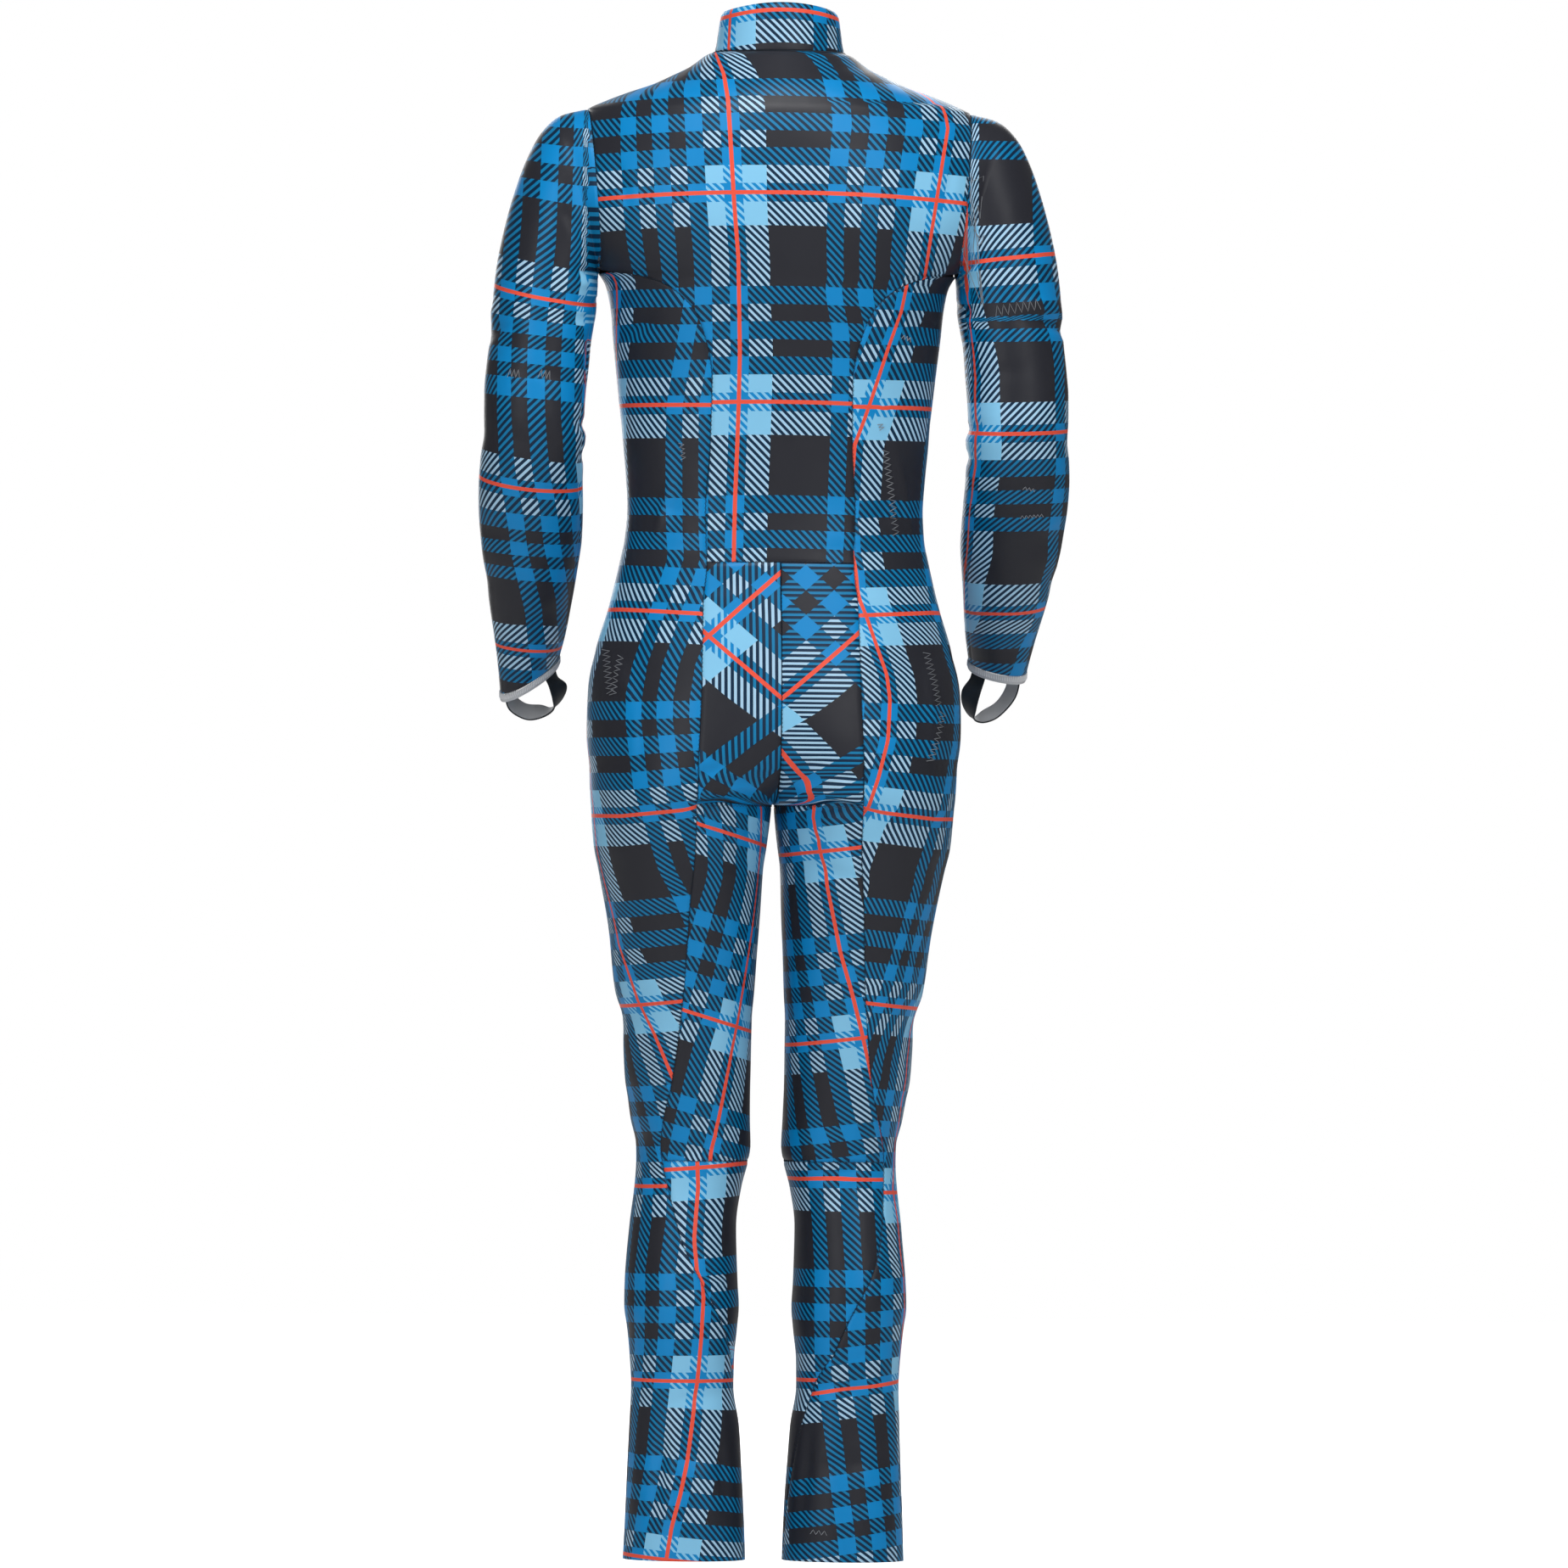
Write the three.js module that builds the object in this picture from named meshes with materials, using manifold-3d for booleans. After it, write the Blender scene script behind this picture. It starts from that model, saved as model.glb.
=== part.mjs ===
// Ski race suit, a one-piece suit in its hollow worn form with no wearer in it.
// Millimetres, +Z up. The back faces -Y and the wearer's left side lies at -X.
// The origin is the middle of the neck base, where the collar is sewn on.

import * as THREE from "three";
import * as BufferGeometryUtils from "three/addons/utils/BufferGeometryUtils.js";
import Module from "manifold-3d";

const wasm = await Module();
wasm.setup();

// Driving sizes
const clothWall = 1.8; // laminated stretch cloth
const collarWall = 2.2; // doubled cloth with a rolled top edge
const seamGap = 0.3; // between two pieces at a seam
const crotchZ = -675;
const waistSeamZ = -457.5;
const kneeSeamZ = -993;
const armpitZ = -200;
const hemZ = -1350;
const shoulderTipZ = -53;
const shoulderTipX = 171.6;
const armpitX = 160.5;
const neckHalfWidth = 59;
const collarRise = { back: 43, side: 36, front: 50 }; // height of the collar above its seam
const neckDrop = 58; // how much lower the neck seam runs at the front
const zipHalfWidth = 4;
const zipBottomZ = -560;
const sleeveColumns = 16;
const cuffTapeWidth = 7;
const strapThickness = 1.4;

const degree = Math.PI / 180;

// Colours of the pieces as plain solids
const colours = {
  back: 0x3c5f7c,
  side: 0x2e5b80,
  seat: 0x40729b,
  thigh: 0x4a7ea6,
  calf: 0x5b8fb4,
  front: 0x35607f,
  sleeve: 0x44708f,
  under: 0x1f3c55,
  collar: 0x6fb2d8,
  tape: 0xb4b6b8,
  strap: 0x222226,
  zip: 0x26262a,
  metal: 0x8f9296,
};

// Body sections from the neck base to the hem, one row for each height. inner and outer are the
// sideways reach of one half of the body from its middle plane, so a whole torso ring has
// inner = -outer and a leg has both on its own side. back, flank and front are the Y of the ring
// at its back, at its widest line and at its front. power is the superellipse power, and drop is
// how much lower the ring runs at the centre front.
const bodySections = table(
  ["z", "inner", "outer", "back", "flank", "front", "power", "drop"],
  [
    [0, -neckHalfWidth, neckHalfWidth, -52, 2, 56, 2.0, neckDrop],
    [-3, -65, 65, -56, 2, 59, 2.0, 60],
    [-8, -72, 72, -61, 2, 64, 2.0, 61],
    [-14, -80, 80, -67, 2, 69, 2.0, 62],
    [-22, -96, 96, -75, 2, 76, 2.0, 62],
    [-30, -113, 113, -83, 2, 83, 2.0, 61],
    [-38, -136, 136, -89, 2, 89, 2.0, 59],
    [-46, -157, 157, -94, 2, 93, 2.0, 57],
    [-53, -172, 172, -98, 2, 96, 2.0, 55],
    [-62, -180, 180, -101, 2, 100, 2.0, 52],
    [-76, -187, 187, -105, 2, 104, 2.05, 47],
    [-95, -193, 193, -108, 2, 109, 2.1, 41],
    [-120, -196, 196, -110, 2, 114, 2.15, 32],
    [-150, -193, 193, -110.5, 2, 119, 2.2, 20],
    [-175, -182, 182, -109, 2, 122, 2.2, 9],
    [-190, -170, 170, -107.5, 2, 123, 2.2, 3],
    [-200, -160.2, 160.2, -106, 2, 123, 2.2, 0],
    [-205, -156.5, 156.5, -105, 2, 123, 2.2, 0],
    [-211, -153.5, 153.5, -104.5, 2, 122.5, 2.2, 0],
    [-221, -151, 151, -103, 2, 121.5, 2.2, 0],
    [-236, -148.6, 148.6, -100.5, 2, 120, 2.2, 0],
    [-255, -147, 147, -97, 2, 117, 2.2, 0],
    [-295, -142.5, 142.5, -91, 2, 110, 2.2, 0],
    [-345, -137, 137, -85, 2, 102, 2.2, 0],
    [-378, -133, 133, -82, 2, 97, 2.2, 0],
    [-409, -131, 131, -80, 2, 93, 2.2, 0],
    [-430, -133, 133, -81, 2, 91.5, 2.2, 0],
    [-457.5, -138.5, 138.5, -85, 1, 91, 2.2, 0],
    [-500, -147, 149, -98, -1, 91, 2.15, 0],
    [-538, -148, 159.6, -109, -3, 89.5, 2.1, 0],
    [-576, -125, 165, -116, -6, 87, 2.1, 0],
    [-614, -90, 166, -119, -8, 84.5, 2.1, 0],
    [-637, -61, 165, -118, -9, 83, 2.1, 0],
    [-655, -32.5, 164.3, -115, -9, 82.5, 2.1, 0],
    [-665, -17.5, 163.6, -112.5, -9, 82.3, 2.1, 0],
    [-671, -7.5, 163.1, -110, -8.5, 82.2, 2.1, 0],
    [-675, 0.8, 162.6, -108, -8, 82, 2.1, 0],
    [-690, 2.6, 161.5, -102, -6, 82, 2.1, 0],
    [-712, 5.2, 159.5, -95, -4, 82.5, 2.1, 0],
    [-733, 8, 155, -89, -1, 83, 2.1, 0],
    [-785, 10.3, 145, -74, 5, 84, 2.1, 0],
    [-842, 13.5, 138, -59, 14, 86, 2.1, 0],
    [-866, 15.2, 130.6, -53, 18, 88, 2.1, 0],
    [-922, 15.4, 126.5, -39, 27, 92, 2.1, 0],
    [-956, 14.8, 122, -30, 33, 95, 2.1, 0],
    [-979, 14, 116.8, -25, 36, 96, 2.1, 0],
    [-994, 16.3, 116.5, -23, 36, 95, 2.1, 0],
    [-1017, 22, 117.8, -22, 35, 92, 2.1, 0],
    [-1051, 26.4, 121.8, -28, 31, 87, 2.1, 0],
    [-1102, 25, 126, -36, 25, 80, 2.1, 0],
    [-1123, 23.8, 126.5, -37, 22, 77, 2.1, 0],
    [-1145, 25.6, 123.8, -36, 20, 74, 2.1, 0],
    [-1169, 28, 121.6, -34, 18, 70, 2.1, 0],
    [-1195, 28.3, 120, -31, 17, 67, 2.1, 0],
    [-1230, 23, 121.2, -32, 16, 66, 2.1, 0],
    [-1270, 20.3, 123, -35, 15, 66.5, 2.1, 0],
    [-1310, 18, 124.6, -38, 14, 67, 2.1, 0],
    [-1350, 16.6, 126, -40, 13, 68, 2.1, 0],
  ],
);

// Seam between the back pieces and the side panels, as the distance from the middle plane. The
// two legs are cut alike down to the knee and sweep across the calf at different heights.
const sideSeam = table(
  ["z", "left", "right"],
  [
    [-200, 157, 157],
    [-202, 137, 137],
    [-208, 113, 113],
    [-221, 92, 92],
    [-236, 79, 79],
    [-255, 71, 71],
    [-273, 66, 66],
    [-295, 63, 63],
    [-350, 63.5, 63.5],
    [-411, 67, 67],
    [-464, 66, 66],
    [-490, 69, 69],
    [-579, 71.5, 71.5],
    [-648, 74, 74],
    [-707, 74, 74],
    [-768, 77.8, 77.8],
    [-831, 80.6, 80.6],
    [-878, 84.5, 84.5],
    [-927, 90.5, 90.5],
    [-955, 96, 97],
    [-980, 98, 103],
    [-1000, 95, 104],
    [-1034, 87, 103],
    [-1065, 78.7, 100],
    [-1098, 62.7, 90.5],
    [-1127, 46.7, 75],
    [-1148, 37, 65],
    [-1170, 31, 56],
  ],
);

// From here down that seam turns to the inside of the calf and is given as ring degrees.
const calfSeam = table(
  ["z", "left", "right"],
  [
    [-1170, -63, -25],
    [-1195, -88, -46],
    [-1230, -98, -58],
    [-1270, -104, -70],
    [-1310, -108, -80],
    [-1350, -110, -88],
  ],
);

// Seam between the side panels and the fronts, in ring degrees (90 is the flank, 180 the front)
const frontSeam = table(
  ["z", "degrees"],
  [
    [-200, 94],
    [-208, 101],
    [-236, 112],
    [-310, 118],
    [-457.5, 116],
    [-675, 108],
    [-993, 104],
    [-1350, 110],
  ],
);

// Inseam in ring degrees, from the crotch (-90 faces the other leg) to the hem
const inseam = table(
  ["z", "degrees"],
  [
    [-675, -90],
    [-712, -99],
    [-993, -102],
    [-1169, -112],
    [-1350, -128],
  ],
);

// Heights of the rows of points that all the body pieces share
const rowHeights = [
  0, -6, -14, -25, -38, -53, -66, -85, -110, -140, -170, -188, -200, -202, -208, -221, -236, -255,
  -280, -310, -345, -380, -412, -440, -457.5, -485, -515, -545, -575, -603, -628, -648, -662, -671,
  -675, -690, -712, -740, -772, -806, -840, -866, -900, -940, -970, -993, -1017, -1048, -1078,
  -1108, -1138, -1169, -1200, -1235, -1270, -1310, -1350,
];

// Pads between the cloth and its lining lift the outside by rise, over a patch with soft edges.
// x is the distance from the middle plane on both halves of the back.
const bodyPads = table(
  ["x", "z", "halfWidth", "halfHeight", "rise"],
  [
    [118, -385, 26, 62, 2.2],
    [150, -590, 26, 52, 2.6],
    [74, -130, 52, 60, 1.2],
    [128, -905, 18, 34, 1.6],
  ],
);

// Creases move the whole wall inwards along a line on the back, by depth at its middle. side is
// -1 or 1 for the half they lie on, x and z are their ends and reach is the half width.
const bodyCreases = table(
  ["side", "x0", "z0", "x1", "z1", "reach", "depth"],
  [
    [-1, 22, -668, 82, -680, 13, 4.5],
    [1, 24, -670, 88, -684, 13, 4.5],
    [1, 10, -652, 78, -646, 9, 1.8],
    [-1, 18, -716, 60, -730, 12, 2.5],
    [1, 16, -722, 70, -742, 12, 2.5],
    [-1, 40, -978, 96, -990, 11, 3],
    [1, 32, -1006, 96, -996, 11, 3],
    [-1, 112, -236, 146, -262, 11, 2.5],
    [1, 108, -240, 146, -266, 11, 2.5],
    [-1, 20, -452, 120, -448, 13, 2.2],
    [1, 20, -450, 120, -444, 13, 2.2],
    [-1, 30, -1196, 96, -1212, 12, 2.4],
    [1, 34, -1190, 100, -1204, 12, 2.4],
    [-1, 24, -1262, 104, -1252, 12, 2],
    [1, 30, -1268, 110, -1256, 12, 2],
  ],
);

// Sleeve rings from the armhole to the end of the cuff tape. outer and inner are the two ends of
// the ring seen from behind (distance from the middle plane and height), midY its middle, back and
// front its two depths from there, tilt the forward lean in degrees and reach its share of the
// difference between the two cuffs.
const sleeveRings = table(
  ["outerX", "outerZ", "innerX", "innerZ", "midY", "back", "front", "tilt", "reach"],
  [
    [shoulderTipX, shoulderTipZ, armpitX, armpitZ, 2, 53, 55, 0, 0],
    [196, -59.5, 160.9, -203, 1.5, 55, 56, 0, 0],
    [213, -75, 161, -206, 1, 56, 56, 0, 0],
    [227, -101, 161.1, -210, 0, 56, 55, 0, 0],
    [238, -133, 161.3, -216, -1, 55, 54, 0, 0],
    [247, -168, 161.6, -224, -2, 54, 52, 0, 0],
    [252.5, -200, 162.3, -235, -3, 52, 50, 0, 0],
    [255.5, -230, 164.5, -248, -4, 50.5, 48, 0, 0],
    [257, -256, 167, -263, -5, 49, 47, 0, 0],
    [260, -282, 168.8, -284, -6, 48, 46, 0, 0],
    [262, -306, 171, -306, -7, 47, 46, 0, 0],
    [262, -326, 172, -325, -7, 47, 46, 1, 0],
    [261.5, -344, 170.2, -342, -4.5, 46.5, 46, 4, 0],
    [264, -364, 171.6, -361, 2, 46, 45.5, 7, 0],
    [265, -386, 172, -383, 12, 45, 45, 10, 0],
    [264.5, -410, 170.8, -407, 25, 44, 44, 12, 0],
    [261.5, -438, 170.4, -434, 42, 42.5, 42.5, 14, 0],
    [256, -468, 173.3, -464, 61, 40, 40, 15, 0.1],
    [250, -498, 177, -494, 82, 37, 37, 15, 0.3],
    [243, -530, 180.8, -521, 104, 33, 33.5, 15, 0.6],
    [238, -560, 185, -542, 122, 30, 31, 15, 1],
    [237.3, -560 - cuffTapeWidth, 185.3, -542 - cuffTapeWidth, 126, 30, 31, 15, 1],
  ],
);
const cuffReach = { left: -15, right: 8 }; // the outer end of each cuff against the table
const clothRings = sleeveRings.length - 1; // the last ring ends the cuff tape

// Creases round the sleeve: ring number, ring degrees, half widths in rings and degrees, depth
const sleeveCreases = table(
  ["ring", "degrees", "ringReach", "degreeReach", "depth"],
  [
    [11.6, -80, 0.55, 60, 3.2],
    [13.0, -95, 0.5, 55, 2.2],
    [9.2, -20, 0.6, 50, 1.8],
    [15.6, 40, 0.6, 60, 1.8],
    [18.2, -10, 0.6, 70, 2.2],
    [6.6, -60, 0.7, 40, 2.4],
  ],
);

// Strap of the hand loop, from inside the back of the cuff round to the inside of its front: the
// middle of the band, outwards and forwards from the middle of the cuff and up from the plane of
// the cuff's edge, and the direction of its width.
const strapWidth = 18;
const strapStations = table(
  ["out", "forward", "up", "wideOut", "wideForward", "wideUp"],
  [
    [-17, -12, 4, -0.6, 0.8, 0],
    [-18.6, -13, -3.5, -0.7, 0.7, 0],
    [-24, -14, -14, -0.93, 0.35, 0.1],
    [-25, -10, -27, -0.6, 0.8, 0.1],
    [-21, -3, -36, 0, 1, 0.1],
    [-11, 7, -35, 0, 0.75, 0.66],
    [2, 14, -29, -0.05, 0.55, 0.83],
    [14, 17.5, -15, -0.4, 0.6, 0.7],
    [16.6, 16.6, -5, -0.55, 0.72, 0.42],
    [15.6, 15.6, 4, -0.62, 0.78, 0.1],
  ],
);
const strapHang = { left: 1, right: 1.2 };

// Zip slider and pull, measured from the face of the zip tape at the slider's height
const sliderZ = -30;
const sliderSize = { width: 8, depth: 2.6, height: 11 };
const bridge = { hole: 1.6, bar: 1.2, width: 2.4 };
const pullSize = { width: 6.4, length: 22, thickness: 1.4, bar: 0.75, rail: 1.5 };

// Table rows as objects with the named columns
function table(names, rows) {
  return rows.map((row) => Object.fromEntries(names.map((name, i) => [name, row[i]])));
}

function sideName(side) {
  return side < 0 ? "left" : "right";
}

function clamp(value, low, high) {
  return Math.min(high, Math.max(low, value));
}

// Slope of a column at one row, limited so that the curve between rows never overshoots
function slopeAt(rows, key, name, i) {
  const step = (k) => (rows[k + 1][name] - rows[k][name]) / (rows[k + 1][key] - rows[k][key]);
  if (i === 0) return step(0);
  if (i === rows.length - 1) return step(i - 1);
  const before = step(i - 1);
  const after = step(i);
  return before * after <= 0 ? 0 : (2 * before * after) / (before + after);
}

// Smooth value of a column where the falling column key has the value given
function valueAt(rows, key, at, name) {
  const falling = rows[0][key] > rows[1][key];
  const last = rows.length - 1;
  let i = 0;
  while (i < last - 1 && (falling ? rows[i + 1][key] >= at : rows[i + 1][key] <= at)) i += 1;
  const run = rows[i + 1][key] - rows[i][key];
  const u = clamp((at - rows[i][key]) / run, 0, 1);
  const rise = slopeAt(rows, key, name, i) * run;
  const fall = slopeAt(rows, key, name, i + 1) * run;
  const u2 = u * u;
  const u3 = u2 * u;
  return (
    (2 * u3 - 3 * u2 + 1) * rows[i][name] +
    (u3 - 2 * u2 + u) * rise +
    (3 * u2 - 2 * u3) * rows[i + 1][name] +
    (u3 - u2) * fall
  );
}

// Ring of one half of the body at a height
function sectionAt(z) {
  const at = (name) => valueAt(bodySections, "z", z, name);
  const inner = at("inner");
  const outer = at("outer");
  return {
    z,
    middle: (inner + outer) / 2,
    half: (outer - inner) / 2,
    back: at("back"),
    flank: at("flank"),
    front: at("front"),
    round: 2 / at("power"),
    drop: at("drop"),
  };
}

function signedPower(value, power) {
  return Math.sign(value) * Math.abs(value) ** power;
}

// Point of the body surface: angle 0 is the back, 90 degrees the flank, 180 the front
function bodySurface(side, z, angle) {
  const ring = sectionAt(z);
  const sin = Math.sin(angle);
  const cos = Math.cos(angle);
  const depth = cos > 0 ? ring.back - ring.flank : ring.flank - ring.front;
  return new THREE.Vector3(
    side * (ring.middle + ring.half * signedPower(sin, ring.round)),
    ring.flank + depth * signedPower(cos, ring.round),
    z - (cos < 0 ? ring.drop * cos * cos : 0),
  );
}

// Ring angle on the back where the surface lies at the given distance from the middle plane
function angleAt(z, x) {
  const ring = sectionAt(z);
  const share = clamp((x - ring.middle) / ring.half, -1, 1);
  return Math.asin(signedPower(share, 1 / ring.round));
}

// Outward unit normal of the body surface
function bodyNormal(side, z, angle) {
  const step = 0.8;
  const turn = 0.02;
  const up = bodySurface(side, Math.min(z + step, 0), angle);
  const down = bodySurface(side, Math.max(z - step, hemZ), angle);
  const ahead = bodySurface(side, z, angle + turn);
  const behind = bodySurface(side, z, angle - turn);
  const along = up.sub(down);
  const across = ahead.sub(behind);
  return across.cross(along).multiplyScalar(side).normalize();
}

// Share from 1 in the middle to 0 at the rim of a patch
function softPatch(distance) {
  return distance >= 1 ? 0 : (1 - distance * distance) ** 2;
}

// How far the pads lift the outside of the cloth at a point of the back
function padRise(point) {
  const x = Math.abs(point.x);
  return bodyPads.reduce((sum, pad) => {
    const across = ((x - pad.x) / pad.halfWidth) ** 4;
    const along = ((point.z - pad.z) / pad.halfHeight) ** 4;
    return sum + pad.rise * softPatch(Math.sqrt(across + along));
  }, 0);
}

// How far the creases draw the cloth inwards at a point of the back
function creaseDepth(side, point) {
  const x = Math.abs(point.x);
  return bodyCreases.reduce((sum, crease) => {
    if (crease.side !== side) return sum;
    const dx = crease.x1 - crease.x0;
    const dz = crease.z1 - crease.z0;
    const length = Math.hypot(dx, dz);
    const along = ((x - crease.x0) * dx + (point.z - crease.z0) * dz) / length;
    const away = ((point.z - crease.z0) * dx - (x - crease.x0) * dz) / length;
    const ends = softPatch(Math.abs((2 * along) / length - 1) / 1.25);
    return sum + crease.depth * ends * softPatch(Math.abs(away) / crease.reach);
  }, 0);
}

// Distance of the armhole seam from the middle plane
function armholeX(z) {
  const share = clamp((z - shoulderTipZ) / (armpitZ - shoulderTipZ), 0, 1);
  return shoulderTipX + share * (armpitX - shoulderTipX);
}

// Ring angle where the front meets the armhole, whose rows run lower towards the middle
function frontArmholeAngle(z) {
  const { drop } = sectionAt(z);
  let angle = Math.PI / 2;
  for (let i = 0; i < 6; i += 1) {
    angle = Math.PI - angleAt(z, armholeX(z - drop * Math.cos(angle) ** 2));
  }
  return angle;
}

// Outer and inner point of the body wall, kept on its own side of the armhole seam
function bodyWall(side, z, angle) {
  const point = bodySurface(side, z, angle);
  const normal = bodyNormal(side, z, angle);
  const facing = Math.max(0, Math.cos(angle));
  const dent = facing > 0 ? creaseDepth(side, point) * Math.min(1, facing * 2) : 0;
  const rise = padRise(point) * clamp((Math.cos(angle) + 0.35) / 0.45, 0, 1);
  const outer = point.clone().addScaledVector(normal, rise - dent);
  const inner = point.clone().addScaledVector(normal, -dent - clothWall);
  if (z <= shoulderTipZ && z >= armpitZ) {
    for (const corner of [outer, inner]) {
      corner.x = side * Math.min(side * corner.x, armholeX(corner.z) - seamGap / 2);
    }
  }
  return { outer, inner };
}

// Ring angle of the edge of the back pieces at a height: shoulder, armhole, then the side seam
function backEdge(side, z) {
  if (z >= shoulderTipZ) return Math.PI / 2;
  if (z > armpitZ) return angleAt(z, armholeX(z));
  if (z >= sideSeam.at(-1).z) {
    const x = valueAt(sideSeam, "z", z, sideName(side));
    return angleAt(z, x);
  }
  return valueAt(calfSeam, "z", z, sideName(side)) * degree;
}

// Ring angle of the outer edge of the fronts
function frontEdge(z) {
  if (z >= shoulderTipZ) return Math.PI / 2;
  if (z > armpitZ) return frontArmholeAngle(z);
  return valueAt(frontSeam, "z", z, "degrees") * degree;
}

// Ring angle of the middle edge of the back pieces: the centre back, then the inseam
function backMiddle(z) {
  if (z > crotchZ) return angleAt(z, 0);
  return valueAt(inseam, "z", z, "degrees") * degree;
}

// Ring angle of the middle edge of the fronts: beside the zip, the centre front, then the inseam
function frontMiddle(z) {
  if (z > crotchZ) return Math.PI - angleAt(z, z >= zipBottomZ - 16 ? zipHalfWidth + seamGap / 2 : 0);
  return 2 * Math.PI + valueAt(inseam, "z", z, "degrees") * degree;
}

// Grid of wall points of a body piece from its middle edge to its other edge, each a function of
// the height. Towards the crotch the middle edge swings quickly round to face the other leg, so
// there the columns crowd towards it and the others stay where they are.
function bodyGrid(side, heights, columns, middle, other, facingLeg) {
  return heights.map((z) => {
    const start = middle(z);
    const end = other(z);
    const swing = start - facingLeg;
    const crowd = swing === 0 ? 1 : clamp((0.7 * (end - facingLeg)) / swing, 1, 5);
    return Array.from({ length: columns + 1 }, (_, i) => {
      const u = i / columns;
      const angle = facingLeg + (end - facingLeg) * u + swing * (1 - u) ** crowd;
      return bodyWall(side, z, angle);
    });
  });
}

// Draws the edge points of a grid back from a seam. The step along the row or column grows where
// the seam runs aslant, so that half of seamGap is kept square to the seam.
function drawBack(grid, edges) {
  const rows = grid.length;
  const columns = grid[0].length;
  const shifts = [];
  const shift = (r, c, towards, before, after) => {
    const way = towards.clone().sub(grid[r][c].outer);
    const seam = after.clone().sub(before).normalize();
    const span = way.length();
    way.normalize();
    const slant = Math.max(0.08, way.clone().cross(seam).length());
    shifts.push([r, c, way.multiplyScalar(Math.min(seamGap / 2 / slant, span * 0.45))]);
  };
  for (let r = 0; r < rows; r += 1) {
    const above = Math.max(r - 1, 0);
    const below = Math.min(r + 1, rows - 1);
    const last = columns - 1;
    if (edges.includes("start")) {
      shift(r, 0, grid[r][1].outer, grid[above][0].outer, grid[below][0].outer);
    }
    if (edges.includes("end")) {
      shift(r, last, grid[r][last - 1].outer, grid[above][last].outer, grid[below][last].outer);
    }
  }
  for (let c = 0; c < columns; c += 1) {
    const left = Math.max(c - 1, 0);
    const right = Math.min(c + 1, columns - 1);
    if (edges.includes("top")) {
      shift(0, c, grid[1][c].outer, grid[0][left].outer, grid[0][right].outer);
    }
    if (edges.includes("bottom")) {
      const last = rows - 1;
      shift(last, c, grid[last - 1][c].outer, grid[last][left].outer, grid[last][right].outer);
    }
  }
  for (const [r, c, move] of shifts) {
    grid[r][c].outer.add(move);
    grid[r][c].inner.add(move);
  }
  return grid;
}

// Closed wall from a grid of outer and inner points, with its rims; a ring joins its two ends
function wallGeometry(grid, ring = false) {
  const rows = grid.length;
  const columns = grid[0].length;
  const positions = [];
  for (const layer of ["outer", "inner"]) {
    for (const row of grid) for (const point of row) positions.push(...point[layer].toArray());
  }
  const at = (layer, r, c) => layer * rows * columns + r * columns + (c % columns);
  const faces = [];
  const quad = (a, b, c, d) => faces.push(a, b, c, a, c, d);
  const wide = ring ? columns : columns - 1;
  for (let r = 0; r < rows - 1; r += 1) {
    for (let c = 0; c < wide; c += 1) {
      quad(at(0, r, c), at(0, r, c + 1), at(0, r + 1, c + 1), at(0, r + 1, c));
      quad(at(1, r, c), at(1, r + 1, c), at(1, r + 1, c + 1), at(1, r, c + 1));
    }
  }
  for (let c = 0; c < wide; c += 1) {
    quad(at(0, 0, c + 1), at(0, 0, c), at(1, 0, c), at(1, 0, c + 1));
    quad(at(0, rows - 1, c), at(0, rows - 1, c + 1), at(1, rows - 1, c + 1), at(1, rows - 1, c));
  }
  if (!ring) {
    for (let r = 0; r < rows - 1; r += 1) {
      const e = columns - 1;
      quad(at(0, r, 0), at(0, r + 1, 0), at(1, r + 1, 0), at(1, r, 0));
      quad(at(0, r + 1, e), at(0, r, e), at(1, r, e), at(1, r + 1, e));
    }
  }
  return facedOutwards(positions, faces);
}

// Geometry whose faces point out, whichever hand its grid was laid with
function facedOutwards(positions, faces) {
  const corner = (i) => new THREE.Vector3().fromArray(positions, faces[i] * 3);
  let volume = 0;
  for (let i = 0; i < faces.length; i += 3) {
    volume += corner(i).dot(corner(i + 1).cross(corner(i + 2)));
  }
  const index = volume > 0 ? faces : faces.toReversed();
  const geometry = new THREE.BufferGeometry();
  geometry.setAttribute("position", new THREE.Float32BufferAttribute(positions, 3));
  geometry.setIndex(index);
  geometry.computeVertexNormals();
  return geometry;
}

function piece(name, geometry, colour, roughness = 0.45, metalness = 0) {
  const material = new THREE.MeshStandardMaterial({ color: colour, roughness, metalness });
  const mesh = new THREE.Mesh(geometry, material);
  mesh.name = name;
  return mesh;
}

function heightsBetween(top, bottom) {
  return rowHeights.filter((z) => z <= top && z >= bottom);
}

// Back: one piece from the neck to the waist seam, both halves in one grid
function backPanel() {
  const half = 7;
  const heights = heightsBetween(0, waistSeamZ);
  const right = bodyGrid(1, heights, half, () => 0, (z) => backEdge(1, z), 0);
  const left = bodyGrid(-1, heights, half, () => 0, (z) => backEdge(-1, z), 0);
  const grid = right.map((row, r) => [...left[r].slice(1).reverse(), ...row]);
  return piece("back_panel", wallGeometry(drawBack(grid, ["start", "end", "top", "bottom"])), colours.back);
}

// Sides: armpit to the waist seam, then on to the hem, wide over the flank and swept across the calf
function sidePieces(side) {
  const cuts = [
    ["side_panel", armpitZ, waistSeamZ, ["start", "end", "top", "bottom"]],
    ["leg_side", waistSeamZ, hemZ, ["start", "end", "top"]],
  ];
  const back = (z) => backEdge(side, z);
  return cuts.map(([name, top, bottom, edges]) => {
    const grid = heightsBetween(top, bottom).map((z) => {
      const turn = frontEdge(z) - back(z);
      return Array.from({ length: 6 }, (_, i) => bodyWall(side, z, back(z) + (turn * i) / 5));
    });
    return piece(`${name}_${sideName(side)}`, wallGeometry(drawBack(grid, edges)), colours.side);
  });
}

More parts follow.
